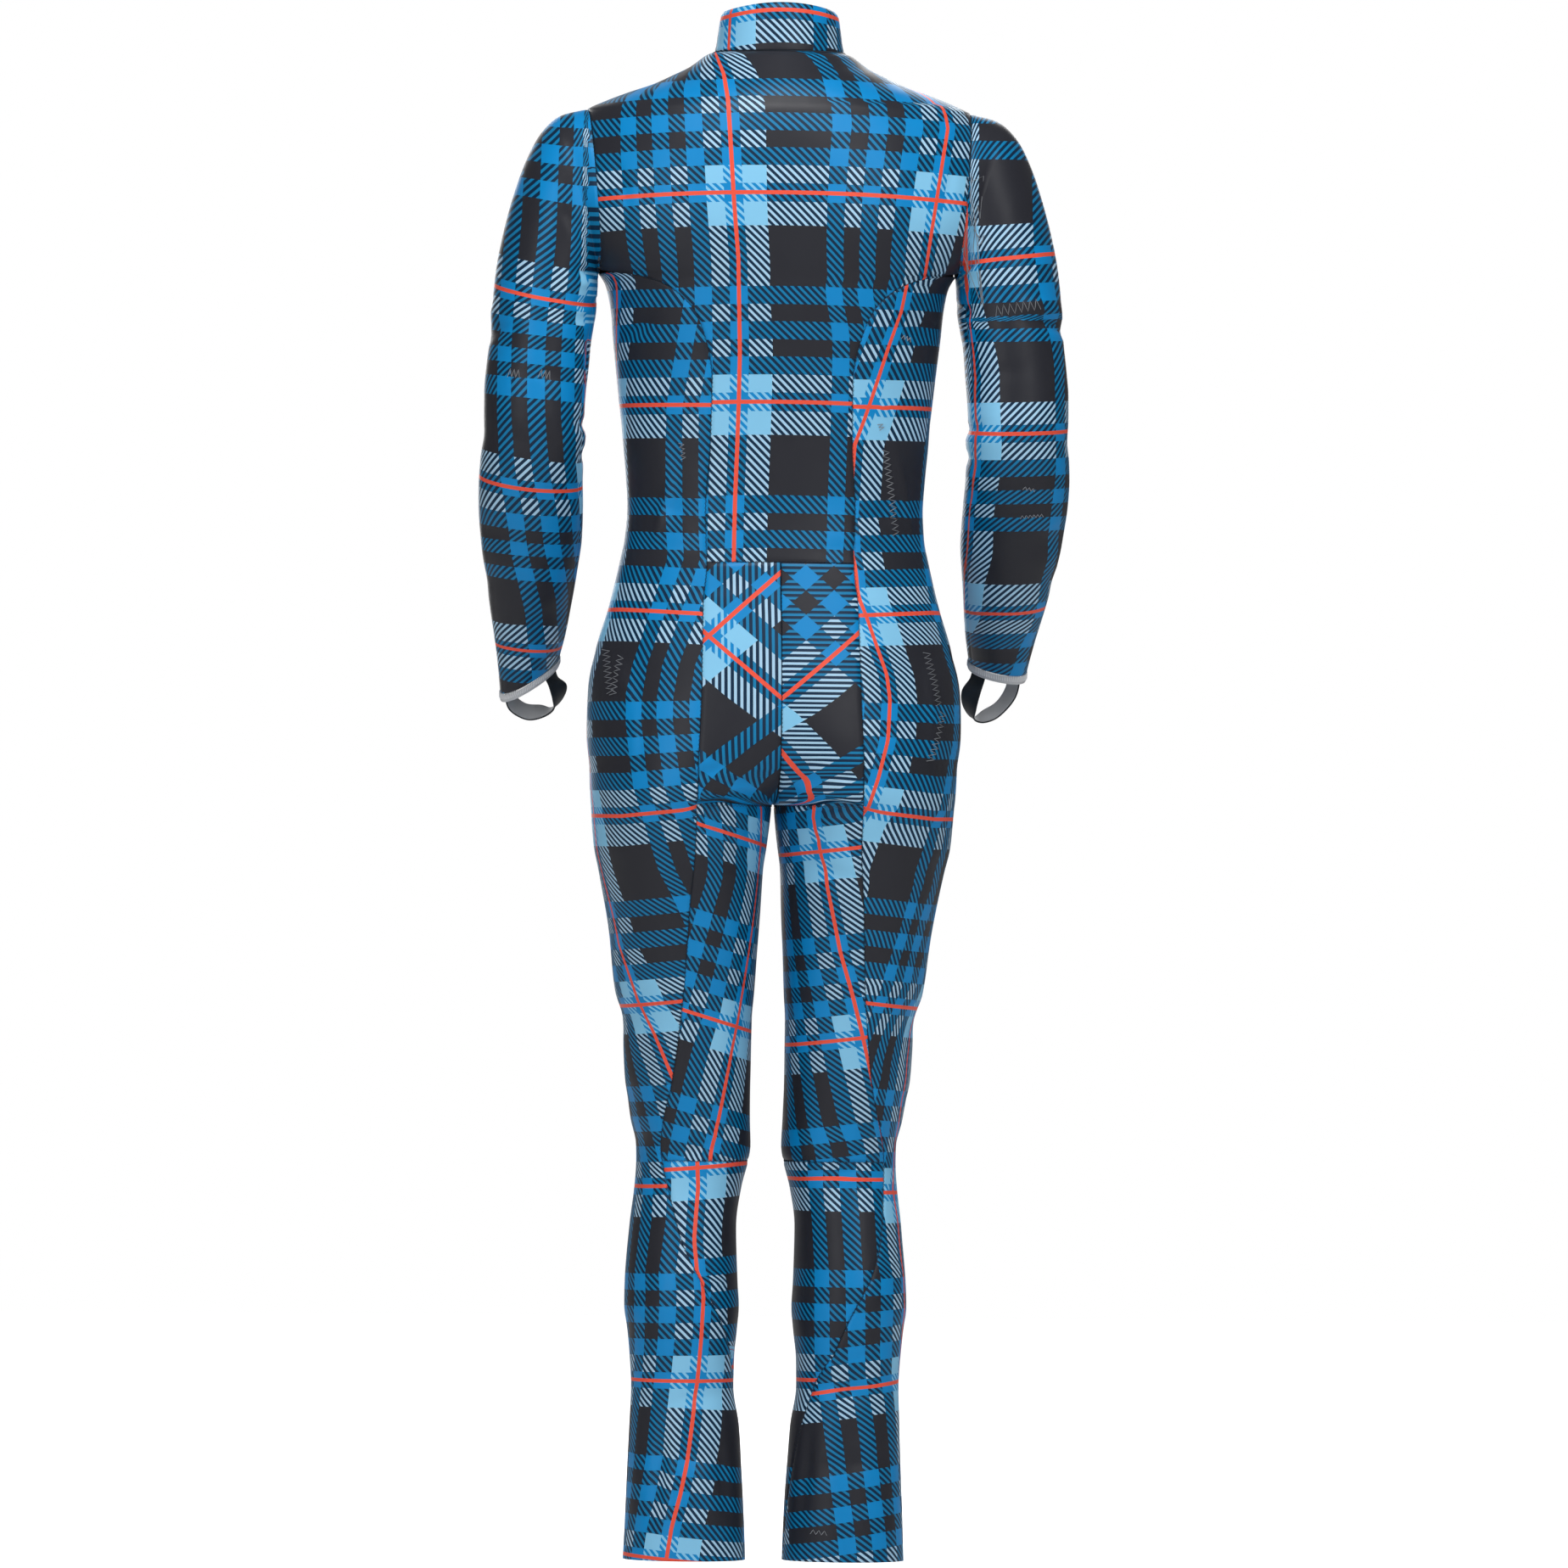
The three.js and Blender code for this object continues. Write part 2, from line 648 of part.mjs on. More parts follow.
// Seat: waist seam to the seam under the seat, level with the crotch
function seat(side) {
  const heights = heightsBetween(waistSeamZ, crotchZ);
  const grid = bodyGrid(side, heights, 7, backMiddle, (z) => backEdge(side, z), -Math.PI / 2);
  const geometry = wallGeometry(drawBack(grid, ["start", "end", "top", "bottom"]));
  return piece(`seat_${sideName(side)}`, geometry, colours.seat);
}

// Back of the thigh: seam under the seat to the knee seam
function thighBack(side) {
  const heights = heightsBetween(crotchZ, kneeSeamZ);
  const grid = bodyGrid(side, heights, 7, backMiddle, (z) => backEdge(side, z), -Math.PI / 2);
  const geometry = wallGeometry(drawBack(grid, ["start", "end", "top", "bottom"]));
  return piece(`thigh_back_${sideName(side)}`, geometry, colours.thigh);
}

// Inner calf: knee seam to a narrow end at the hem
function calfInner(side) {
  const heights = heightsBetween(kneeSeamZ, hemZ);
  const grid = bodyGrid(side, heights, 4, backMiddle, (z) => backEdge(side, z), 0);
  const geometry = wallGeometry(drawBack(grid, ["start", "end", "top"]));
  return piece(`calf_inner_${sideName(side)}`, geometry, colours.calf);
}

// Fronts: shoulder to the level of the crotch on each side of the zip, then thigh and shin, which
// are joined at the same heights as the pieces of the back
function frontPieces(side) {
  const cuts = [
    ["front", 0, crotchZ, ["start", "end", "top", "bottom"]],
    ["thigh_front", crotchZ, kneeSeamZ, ["start", "end", "top", "bottom"]],
    ["shin", kneeSeamZ, hemZ, ["start", "end", "top"]],
  ];
  return cuts.map(([name, top, bottom, edges]) => {
    const heights = heightsBetween(top, bottom);
    const grid = bodyGrid(side, heights, 6, frontMiddle, frontEdge, 1.5 * Math.PI);
    return piece(`${name}_${sideName(side)}`, wallGeometry(drawBack(grid, edges)), colours.front);
  });
}

// Point of the sleeve surface at a ring number and angle: 0 is the back, 90 degrees the outside
function sleeveSurface(side, ring, angle) {
  const at = (name) => valueAt(sleeveRows, "ring", ring, name);
  const sin = Math.sin(angle);
  const cos = Math.cos(angle);
  const outerZ = at("outerZ") + cuffReach[sideName(side)] * at("reach");
  const lateral = signedPower(sin, 0.95);
  const x = (at("outerX") * (1 + lateral) + at("innerX") * (1 - lateral)) / 2;
  const z = (outerZ * (1 + lateral) + at("innerZ") * (1 - lateral)) / 2;
  const depth = -signedPower(cos, 0.95) * (cos > 0 ? at("back") : at("front"));
  const lean = at("tilt") * degree;
  return new THREE.Vector3(side * x, at("midY") + depth * Math.cos(lean), z + depth * Math.sin(lean));
}

const sleeveRows = sleeveRings.map((row, ring) => ({ ...row, ring }));

// The first ring is the armhole itself, read off the body just outside its seam
function armholePoint(side, angle) {
  const middle = (shoulderTipZ + armpitZ) / 2;
  const z = middle + ((shoulderTipZ - armpitZ) / 2) * Math.sin(angle);
  const onBody = Math.cos(angle) > 0 ? angleAt(z, armholeX(z)) : frontArmholeAngle(z);
  const point = bodySurface(side, z, onBody);
  point.x = side * (armholeX(point.z) + seamGap / 2);
  return point;
}

// How far the creases draw the sleeve in
function sleeveDent(ring, angle) {
  return sleeveCreases.reduce((sum, crease) => {
    const turn = Math.abs((((angle / degree - crease.degrees) % 360) + 540) % 360 - 180);
    const away = Math.abs(ring - crease.ring) / crease.ringReach;
    return sum + crease.depth * softPatch(away) * softPatch(turn / crease.degreeReach);
  }, 0);
}

// Wall points of a whole sleeve, ring by ring, with normals taken from the surface
function sleeveGrid(side, firstRing, lastRing, thickness) {
  const grid = [];
  for (let ring = firstRing; ring <= lastRing; ring += 1) {
    const row = [];
    for (let c = 0; c < sleeveColumns; c += 1) {
      const angle = (c / sleeveColumns) * 2 * Math.PI;
      const point = ring === 0 ? armholePoint(side, angle) : sleeveSurface(side, ring, angle);
      const step = 0.05;
      const down = sleeveSurface(side, Math.min(ring + step, sleeveRows.length - 1), angle);
      const up = sleeveSurface(side, Math.max(ring - step, 0), angle);
      const ahead = sleeveSurface(side, ring, angle + step);
      const behind = sleeveSurface(side, ring, angle - step);
      const normal = ahead.sub(behind).cross(up.sub(down)).multiplyScalar(side).normalize();
      const dent = sleeveDent(ring, angle);
      const outer = point.clone().addScaledVector(normal, -dent);
      const inner = outer.clone().addScaledVector(normal, -thickness);
      for (const corner of [outer, inner]) {
        corner.x = side * Math.max(side * corner.x, armholeX(corner.z) + seamGap / 2);
      }
      row.push({ outer, inner });
    }
    grid.push(row);
  }
  return grid;
}

// Copy of some columns of a ring grid, counted round past its end
function columnsOf(grid, from, to) {
  return grid.map((row) =>
    Array.from({ length: to - from + 1 }, (_, i) => {
      const { outer, inner } = row[(from + i) % row.length];
      return { outer: outer.clone(), inner: inner.clone() };
    }),
  );
}

// The two sleeve seams, as columns of the ring grid on the inside of the arm
const underSeams = { front: 10, back: 13 };

function sleevePieces(side) {
  const grid = sleeveGrid(side, 0, clothRings - 1, clothWall);
  const outer = columnsOf(grid, underSeams.back, underSeams.front + sleeveColumns);
  const under = columnsOf(grid, underSeams.front, underSeams.back);
  const edges = ["start", "end", "bottom"];
  const name = sideName(side);
  return [
    piece(`sleeve_outer_${name}`, wallGeometry(drawBack(outer, edges)), colours.sleeve),
    piece(`sleeve_under_${name}`, wallGeometry(drawBack(under, edges)), colours.under),
  ];
}

// Binding round the end of the sleeve
function cuffTape(side) {
  const grid = sleeveGrid(side, clothRings - 1, clothRings, clothWall);
  const geometry = wallGeometry(drawBack(grid, ["top"]), true);
  return piece(`cuff_tape_${sideName(side)}`, geometry, colours.tape, 0.7);
}

// Stirrup strap that hangs below the cuff, a flat band along a curve
function handLoop(side) {
  const cuff = sleeveRows.at(-1);
  const outerZ = cuff.outerZ + cuffReach[sideName(side)];
  const middleX = (cuff.outerX + cuff.innerX) / 2;
  const middleZ = (outerZ + cuff.innerZ) / 2;
  const slope = (outerZ - cuff.innerZ) / (cuff.outerX - cuff.innerX);
  const lean = Math.tan(cuff.tilt * degree);
  const centres = strapStations.map(({ out, forward, up }) => {
    const edgeZ = middleZ + out * slope + forward * lean;
    const hang = up < 0 ? up * strapHang[sideName(side)] : up;
    return new THREE.Vector3(middleX + out, cuff.midY + forward, edgeZ + hang);
  });
  const widths = strapStations.map((s) => new THREE.Vector3(s.wideOut, s.wideForward, s.wideUp));
  const centreLine = new THREE.CatmullRomCurve3(centres, false, "centripetal");
  const widthLine = new THREE.CatmullRomCurve3(widths, false, "catmullrom");
  const steps = 20;
  const mirror = new THREE.Vector3(side, 1, 1);
  const grid = Array.from({ length: steps + 1 }, (_, i) => {
    const u = i / steps;
    const centre = centreLine.getPoint(u);
    const wide = widthLine.getPoint(u).normalize();
    const normal = wide.clone().cross(centreLine.getTangent(u)).normalize();
    return [-0.5, 0.5].map((share) => {
      const edge = centre.clone().addScaledVector(wide, share * strapWidth);
      const outer = edge.clone().addScaledVector(normal, strapThickness / 2).multiply(mirror);
      const inner = edge.clone().addScaledVector(normal, -strapThickness / 2).multiply(mirror);
      return { outer, inner };
    });
  });
  return piece(`hand_loop_${sideName(side)}`, wallGeometry(grid), colours.strap, 0.6);
}

// Collar profile from its seam to the rolled top edge: share of the height, half width, depths
const collarProfile = table(
  ["rise", "half", "back", "front"],
  [
    [0, neckHalfWidth - 0.4, 53, 54],
    [0.12, 57, 51.5, 53.5],
    [0.5, 55, 50, 53],
    [0.85, 53, 49, 52.5],
    [1, 50.5, 47, 51],
  ],
);

// Point of the collar: level is the share of its height, angle runs as on the body
function collarSurface(side, level, angle) {
  const at = (name) => valueAt(collarProfile, "rise", level, name);
  const sin = Math.sin(angle);
  const cos = Math.cos(angle);
  const seam = cos < 0 ? -neckDrop * cos * cos : 0;
  const middleRise = cos < 0 ? collarRise.front : collarRise.back;
  const rise = collarRise.side + (middleRise - collarRise.side) * cos * cos;
  return new THREE.Vector3(
    side * at("half") * sin,
    2 - cos * (cos > 0 ? at("back") : at("front")),
    seam + level * rise,
  );
}

function collarWallPoint(side, level, angle) {
  const outer = collarSurface(side, level, angle);
  const middle = new THREE.Vector3(0, 2, outer.z);
  const inwards = middle.sub(outer).normalize();
  return { outer, inner: outer.clone().addScaledVector(inwards, collarWall) };
}

// Collar: an open ring from one side of the zip to the other
function collar() {
  const columns = 10;
  const half = (side) =>
    collarProfile.map(({ rise, half: reach }) => {
      const end = Math.PI - Math.asin((zipHalfWidth + seamGap / 2) / reach);
      return Array.from({ length: columns + 1 }, (_, i) =>
        collarWallPoint(side, rise, (end * i) / columns),
      );
    });
  const left = half(-1);
  const grid = half(1).map((row, r) => [...left[r].slice(1).reverse(), ...row]);
  return piece("collar", wallGeometry(drawBack(grid, ["start", "end", "top"])), colours.collar);
}

// Centre-front line that the zip follows, from the top of the collar to its lower end
function zipLine() {
  const collarPart = collarProfile.map(({ rise }) => collarSurface(1, rise, Math.PI)).reverse();
  const bodyPart = rowHeights
    .filter((z) => z < 0 && z > zipBottomZ)
    .map((z) => bodySurface(1, z, Math.PI));
  const end = bodySurface(1, zipBottomZ, Math.PI);
  return [...collarPart, ...bodyPart, end];
}

// Zip tape with its chain, a narrow strip between the fronts
function zipTape() {
  const line = zipLine();
  const grid = line.map((point, i) => {
    const before = line[Math.max(i - 1, 0)];
    const after = line[Math.min(i + 1, line.length - 1)];
    const run = after.clone().sub(before).normalize();
    const normal = new THREE.Vector3(0, -run.z, run.y);
    return [-1, 1].map((share) => {
      const outer = new THREE.Vector3(share * zipHalfWidth, point.y, point.z);
      return { outer, inner: outer.clone().addScaledVector(normal, -clothWall) };
    });
  });
  return piece("zip_tape", wallGeometry(grid), colours.zip, 0.5);
}

// Y of the zip's face at a height
function zipFace(z) {
  const line = zipLine();
  const i = line.findIndex((point) => point.z <= z);
  const share = (z - line[i - 1].z) / (line[i].z - line[i - 1].z);
  return line[i - 1].y + share * (line[i].y - line[i - 1].y);
}

const sliderBack =
  Math.max(zipFace(sliderZ - sliderSize.height / 2), zipFace(sliderZ + sliderSize.height / 2)) +
  seamGap;
const hingeY = sliderBack + sliderSize.depth + bridge.hole;

// Extrusion across the zip: a profile drawn in Y and Z, centred on the middle plane
function acrossZip(shape, width) {
  const geometry = new THREE.ExtrudeGeometry(shape, {
    depth: width,
    bevelEnabled: false,
    curveSegments: 6,
  });
  geometry.translate(0, 0, -width / 2);
  const basis = new THREE.Matrix4().makeBasis(
    new THREE.Vector3(0, 1, 0),
    new THREE.Vector3(0, 0, 1),
    new THREE.Vector3(1, 0, 0),
  );
  return geometry.applyMatrix4(basis);
}

// Closed solid for a boolean, from a geometry with its shared points merged
function solid(geometry) {
  const bare = geometry.index ? geometry.toNonIndexed() : geometry.clone();
  bare.deleteAttribute("normal");
  bare.deleteAttribute("uv");
  const merged = BufferGeometryUtils.mergeVertices(bare, 1e-4);
  return new wasm.Manifold(
    new wasm.Mesh({
      numProp: 3,
      vertProperties: new Float32Array(merged.attributes.position.array),
      triVerts: new Uint32Array(merged.index.array),
    }),
  );
}

function geometryOf(manifold) {
  const mesh = manifold.getMesh();
  const geometry = new THREE.BufferGeometry();
  geometry.setAttribute("position", new THREE.Float32BufferAttribute(mesh.vertProperties, 3));
  geometry.setIndex(Array.from(mesh.triVerts));
  geometry.computeVertexNormals();
  return geometry;
}

// Slider: a bevelled body and the narrow bridge on it that carries the pull
function zipSlider() {
  const { width, depth, height } = sliderSize;
  const body = new THREE.Shape();
  body.moveTo(-depth, -height / 2);
  body.lineTo(-0.8, -height / 2);
  body.lineTo(0, -height / 2 + 1.2);
  body.lineTo(0, height / 2 - 1.2);
  body.lineTo(-0.8, height / 2);
  body.lineTo(-depth, height / 2);
  body.closePath();
  const reach = bridge.hole + bridge.bar;
  const root = -0.5; // how deep the bridge is sunk in the body that it is cast with
  const arch = new THREE.Shape();
  arch.moveTo(root, -reach);
  arch.lineTo(bridge.hole, -reach);
  arch.absarc(bridge.hole, 0, reach, -Math.PI / 2, Math.PI / 2, false);
  arch.lineTo(root, reach);
  arch.lineTo(root, bridge.hole);
  arch.lineTo(bridge.hole, bridge.hole);
  arch.absarc(bridge.hole, 0, bridge.hole, Math.PI / 2, -Math.PI / 2, true);
  arch.lineTo(root, -bridge.hole);
  arch.closePath();
  const joined = solid(acrossZip(body, width)).add(solid(acrossZip(arch, bridge.width)));
  const mesh = piece("zip_slider", geometryOf(joined), colours.metal, 0.35, 0.9);
  mesh.position.set(0, sliderBack + depth, sliderZ);
  return mesh;
}

// Pull: a flat tab whose top bar hangs in the bridge
function zipPull() {
  const { width, length, thickness, bar, rail } = pullSize;
  const window = bridge.hole + bridge.hole + bridge.bar + 0.5;
  const tip = width / 2 - 0.8;
  const shape = new THREE.Shape();
  shape.moveTo(-width / 2, bar);
  shape.lineTo(-width / 2, -length + 2);
  shape.lineTo(-tip, -length);
  shape.lineTo(tip, -length);
  shape.lineTo(width / 2, -length + 2);
  shape.lineTo(width / 2, bar);
  shape.closePath();
  const gap = new THREE.Path();
  gap.moveTo(-width / 2 + rail, -bar);
  gap.lineTo(width / 2 - rail, -bar);
  gap.lineTo(width / 2 - rail, -window);
  gap.lineTo(-width / 2 + rail, -window);
  gap.closePath();
  shape.holes.push(gap);
  const geometry = new THREE.ExtrudeGeometry(shape, { depth: thickness, bevelEnabled: false });
  geometry.translate(0, 0, -thickness / 2);
  geometry.rotateX(Math.PI / 2);
  const mesh = piece("zip_pull", geometry, colours.metal, 0.35, 0.9);
  mesh.position.set(0, hingeY, sliderZ);
  return mesh;
}

const suit = new THREE.Group();
suit.add(collar(), backPanel(), zipTape(), zipSlider(), zipPull());
for (const side of [-1, 1]) {
  suit.add(...sidePieces(side), seat(side), thighBack(side), calfInner(side));
  suit.add(...frontPieces(side));
  suit.add(...sleevePieces(side), cuffTape(side), handLoop(side));
}

export default suit;
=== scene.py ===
import math
from functools import lru_cache

import bmesh
import bpy
from mathutils import Matrix, Vector, noise


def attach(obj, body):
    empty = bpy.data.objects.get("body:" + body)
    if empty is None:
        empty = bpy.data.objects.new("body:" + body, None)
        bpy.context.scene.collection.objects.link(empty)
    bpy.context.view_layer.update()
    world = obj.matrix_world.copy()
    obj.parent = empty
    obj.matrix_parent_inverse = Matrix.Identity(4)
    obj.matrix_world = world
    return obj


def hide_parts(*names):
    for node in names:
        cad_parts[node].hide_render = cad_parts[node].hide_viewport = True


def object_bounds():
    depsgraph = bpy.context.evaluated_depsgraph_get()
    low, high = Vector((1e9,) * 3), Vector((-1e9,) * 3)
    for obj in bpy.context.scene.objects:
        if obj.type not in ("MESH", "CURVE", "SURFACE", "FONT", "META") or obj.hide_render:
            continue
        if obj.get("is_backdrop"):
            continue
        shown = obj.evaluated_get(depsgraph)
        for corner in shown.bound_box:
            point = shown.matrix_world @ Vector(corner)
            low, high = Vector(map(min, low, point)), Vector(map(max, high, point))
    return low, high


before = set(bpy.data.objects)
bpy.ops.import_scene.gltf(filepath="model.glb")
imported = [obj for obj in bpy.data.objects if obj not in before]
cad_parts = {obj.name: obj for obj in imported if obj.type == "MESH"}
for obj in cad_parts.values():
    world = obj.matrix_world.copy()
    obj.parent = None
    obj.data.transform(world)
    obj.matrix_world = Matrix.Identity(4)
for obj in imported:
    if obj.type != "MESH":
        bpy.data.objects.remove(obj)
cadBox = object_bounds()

# The suit's own sizes are in millimetres, as it was cut. Meshes are made in metres.
mm = 0.001
suitBody = "suit"
pullBody = "pull"

cut = {
    "wall": 1.8,            # laminated stretch cloth
    "collarWall": 2.2,
    "seamGap": 0.3,
    "crotchZ": -675.0,
    "waistSeamZ": -457.5,
    "kneeSeamZ": -993.0,
    "armpitZ": -200.0,
    "hemZ": -1350.0,
    "shoulderTipZ": -53.0,
    "shoulderTipX": 171.6,
    "armpitX": 160.5,
    "zipHalfWidth": 4.0,
    "zipBottomZ": -560.0,
    "neckDrop": 58.0,
    "cuffTapeWidth": 7.0,
}

# How the cloth is drawn: size of a mesh cell, the dip of the cloth into a seam, and how the pads and
# creases of the back fade round the flank, by the cosine of the ring angle
drape = {
    "cell": 5.2,
    "edge": (0.08, 0.8, 1.9, 3.6),     # first mesh lines beside a seam
    "openEdge": (0.0, 1.6),            # the same beside a fold or an open end
    "edgeShare": 0.06,
    "seamDip": 0.8,
    "seamReach": 3.0,
    "noSeam": 99.0,         # distance counted from an edge that isn't a seam
    "wobble": 0.55,         # soft unevenness of stretched cloth
    "wobbleSize": 52.0,
    "padFrom": -0.35,
    "padRun": 0.45,
    "creaseRise": 2.0,
    "gather": 0.6,          # how far the print is drawn in for each mm of a crease
}


# Tables with smooth values between their rows

def table(names, rows):
    return [dict(zip(names, row)) for row in rows]


def rowSlope(rows, key, name, i):
    def step(k):
        return (rows[k + 1][name] - rows[k][name]) / (rows[k + 1][key] - rows[k][key])
    if i == 0:
        return step(0)
    if i == len(rows) - 1:
        return step(i - 1)
    before, after = step(i - 1), step(i)
    return 0.0 if before * after <= 0 else 2 * before * after / (before + after)


def valueAt(rows, key, at, name):
    falling = rows[0][key] > rows[1][key]
    i = 0
    while i < len(rows) - 2 and (rows[i + 1][key] >= at if falling else rows[i + 1][key] <= at):
        i += 1
    run = rows[i + 1][key] - rows[i][key]
    u = min(1.0, max(0.0, (at - rows[i][key]) / run))
    rise = rowSlope(rows, key, name, i) * run
    fall = rowSlope(rows, key, name, i + 1) * run
    return ((2 * u**3 - 3 * u**2 + 1) * rows[i][name] + (u**3 - 2 * u**2 + u) * rise
            + (3 * u**2 - 2 * u**3) * rows[i + 1][name] + (u**3 - u**2) * fall)


def clamp(value, low=0.0, high=1.0):
    return min(high, max(low, value))


def softPatch(distance):
    return 0.0 if distance >= 1 else (1 - distance * distance) ** 2


def smoothStep(value):
    t = clamp(value)
    return t * t * (3 - 2 * t)


def signedPower(value, power):
    return math.copysign(abs(value) ** power, value)


def sideName(side):
    return "left" if side < 0 else "right"


# Rings of one half of the body: inner and outer reach from the middle plane, the Y of the back,
# of the widest line and of the front, the superellipse power and the drop at the centre front
bodySections = table(
    ["z", "inner", "outer", "back", "flank", "front", "power", "drop"],
    [
        [0, -59, 59, -52, 2, 56, 2.0, 58],
        [-3, -65, 65, -56, 2, 59, 2.0, 60],
        [-8, -72, 72, -61, 2, 64, 2.0, 61],
        [-14, -80, 80, -67, 2, 69, 2.0, 62],
        [-22, -96, 96, -75, 2, 76, 2.0, 62],
        [-30, -113, 113, -83, 2, 83, 2.0, 61],
        [-38, -136, 136, -89, 2, 89, 2.0, 59],
        [-46, -157, 157, -94, 2, 93, 2.0, 57],
        [-53, -172, 172, -98, 2, 96, 2.0, 55],
        [-62, -180, 180, -101, 2, 100, 2.0, 52],
        [-76, -187, 187, -105, 2, 104, 2.05, 47],
        [-95, -193, 193, -108, 2, 109, 2.1, 41],
        [-120, -196, 196, -110, 2, 114, 2.15, 32],
        [-150, -193, 193, -110.5, 2, 119, 2.2, 20],
        [-175, -182, 182, -109, 2, 122, 2.2, 9],
        [-190, -170, 170, -107.5, 2, 123, 2.2, 3],
        [-200, -160.2, 160.2, -106, 2, 123, 2.2, 0],
        [-205, -156.5, 156.5, -105, 2, 123, 2.2, 0],
        [-211, -153.5, 153.5, -104.5, 2, 122.5, 2.2, 0],
        [-221, -151, 151, -103, 2, 121.5, 2.2, 0],
        [-236, -148.6, 148.6, -100.5, 2, 120, 2.2, 0],
        [-255, -147, 147, -97, 2, 117, 2.2, 0],
        [-295, -142.5, 142.5, -91, 2, 110, 2.2, 0],
        [-345, -137, 137, -85, 2, 102, 2.2, 0],
        [-378, -133, 133, -82, 2, 97, 2.2, 0],
        [-409, -131, 131, -80, 2, 93, 2.2, 0],
        [-430, -133, 133, -81, 2, 91.5, 2.2, 0],
        [-457.5, -138.5, 138.5, -85, 1, 91, 2.2, 0],
        [-500, -147, 149, -98, -1, 91, 2.15, 0],
        [-538, -148, 159.6, -109, -3, 89.5, 2.1, 0],
        [-576, -125, 165, -116, -6, 87, 2.1, 0],
        [-614, -90, 166, -119, -8, 84.5, 2.1, 0],
        [-637, -61, 165, -118, -9, 83, 2.1, 0],
        [-655, -32.5, 164.3, -115, -9, 82.5, 2.1, 0],
        [-665, -17.5, 163.6, -112.5, -9, 82.3, 2.1, 0],
        [-671, -7.5, 163.1, -110, -8.5, 82.2, 2.1, 0],
        [-675, 0.8, 162.6, -108, -8, 82, 2.1, 0],
        [-690, 2.6, 161.5, -102, -6, 82, 2.1, 0],
        [-712, 5.2, 159.5, -95, -4, 82.5, 2.1, 0],
        [-733, 8, 155, -89, -1, 83, 2.1, 0],
        [-785, 10.3, 145, -74, 5, 84, 2.1, 0],
        [-842, 13.5, 138, -59, 14, 86, 2.1, 0],
        [-866, 15.2, 130.6, -53, 18, 88, 2.1, 0],
        [-922, 15.4, 126.5, -39, 27, 92, 2.1, 0],
        [-956, 14.8, 122, -30, 33, 95, 2.1, 0],
        [-979, 14, 116.8, -25, 36, 96, 2.1, 0],
        [-994, 16.3, 116.5, -23, 36, 95, 2.1, 0],
        [-1017, 22, 117.8, -22, 35, 92, 2.1, 0],
        [-1051, 26.4, 121.8, -28, 31, 87, 2.1, 0],
        [-1102, 25, 126, -36, 25, 80, 2.1, 0],
        [-1123, 23.8, 126.5, -37, 22, 77, 2.1, 0],
        [-1145, 25.6, 123.8, -36, 20, 74, 2.1, 0],
        [-1169, 28, 121.6, -34, 18, 70, 2.1, 0],
        [-1195, 28.3, 120, -31, 17, 67, 2.1, 0],
        [-1230, 23, 121.2, -32, 16, 66, 2.1, 0],
        [-1270, 20.3, 123, -35, 15, 66.5, 2.1, 0],
        [-1310, 18, 124.6, -38, 14, 67, 2.1, 0],
        [-1350, 16.6, 126, -40, 13, 68, 2.1, 0],
    ])

# Seams: distance from the middle plane, then ring degrees (0 back, 90 flank, 180 front)
sideSeam = table(
    ["z", "left", "right"],
    [
        [-200, 157, 157], [-202, 137, 137], [-208, 113, 113], [-221, 92, 92], [-236, 79, 79],
        [-255, 71, 71], [-273, 66, 66], [-295, 63, 63], [-350, 63.5, 63.5], [-411, 67, 67],
        [-464, 66, 66], [-490, 69, 69], [-579, 71.5, 71.5], [-648, 74, 74], [-707, 74, 74],
        [-768, 77.8, 77.8], [-831, 80.6, 80.6], [-878, 84.5, 84.5], [-927, 90.5, 90.5],
        [-955, 96, 97], [-980, 98, 103], [-1000, 95, 104], [-1034, 87, 103], [-1065, 78.7, 100],
        [-1098, 62.7, 90.5], [-1127, 46.7, 75], [-1148, 37, 65], [-1170, 31, 56],
    ])
calfSeam = table(
    ["z", "left", "right"],
    [[-1170, -63, -25], [-1195, -88, -46], [-1230, -98, -58], [-1270, -104, -70],
     [-1310, -108, -80], [-1350, -110, -88]])
frontSeam = table(
    ["z", "degrees"],
    [[-200, 94], [-208, 101], [-236, 112], [-310, 118], [-457.5, 116], [-675, 108], [-993, 104],
     [-1350, 110]])
inseam = table(
    ["z", "degrees"],
    [[-675, -90], [-712, -99], [-993, -102], [-1169, -112], [-1350, -128]])

# Pads under the cloth, with soft edges, on both halves of the back
bodyPads = table(
    ["x", "z", "halfWidth", "halfHeight", "rise"],
    [
        [118, -385, 26, 62, 2.2],
        [150, -590, 26, 52, 2.6],
        [74, -130, 52, 60, 1.2],
        [128, -905, 18, 34, 1.6],
    ])

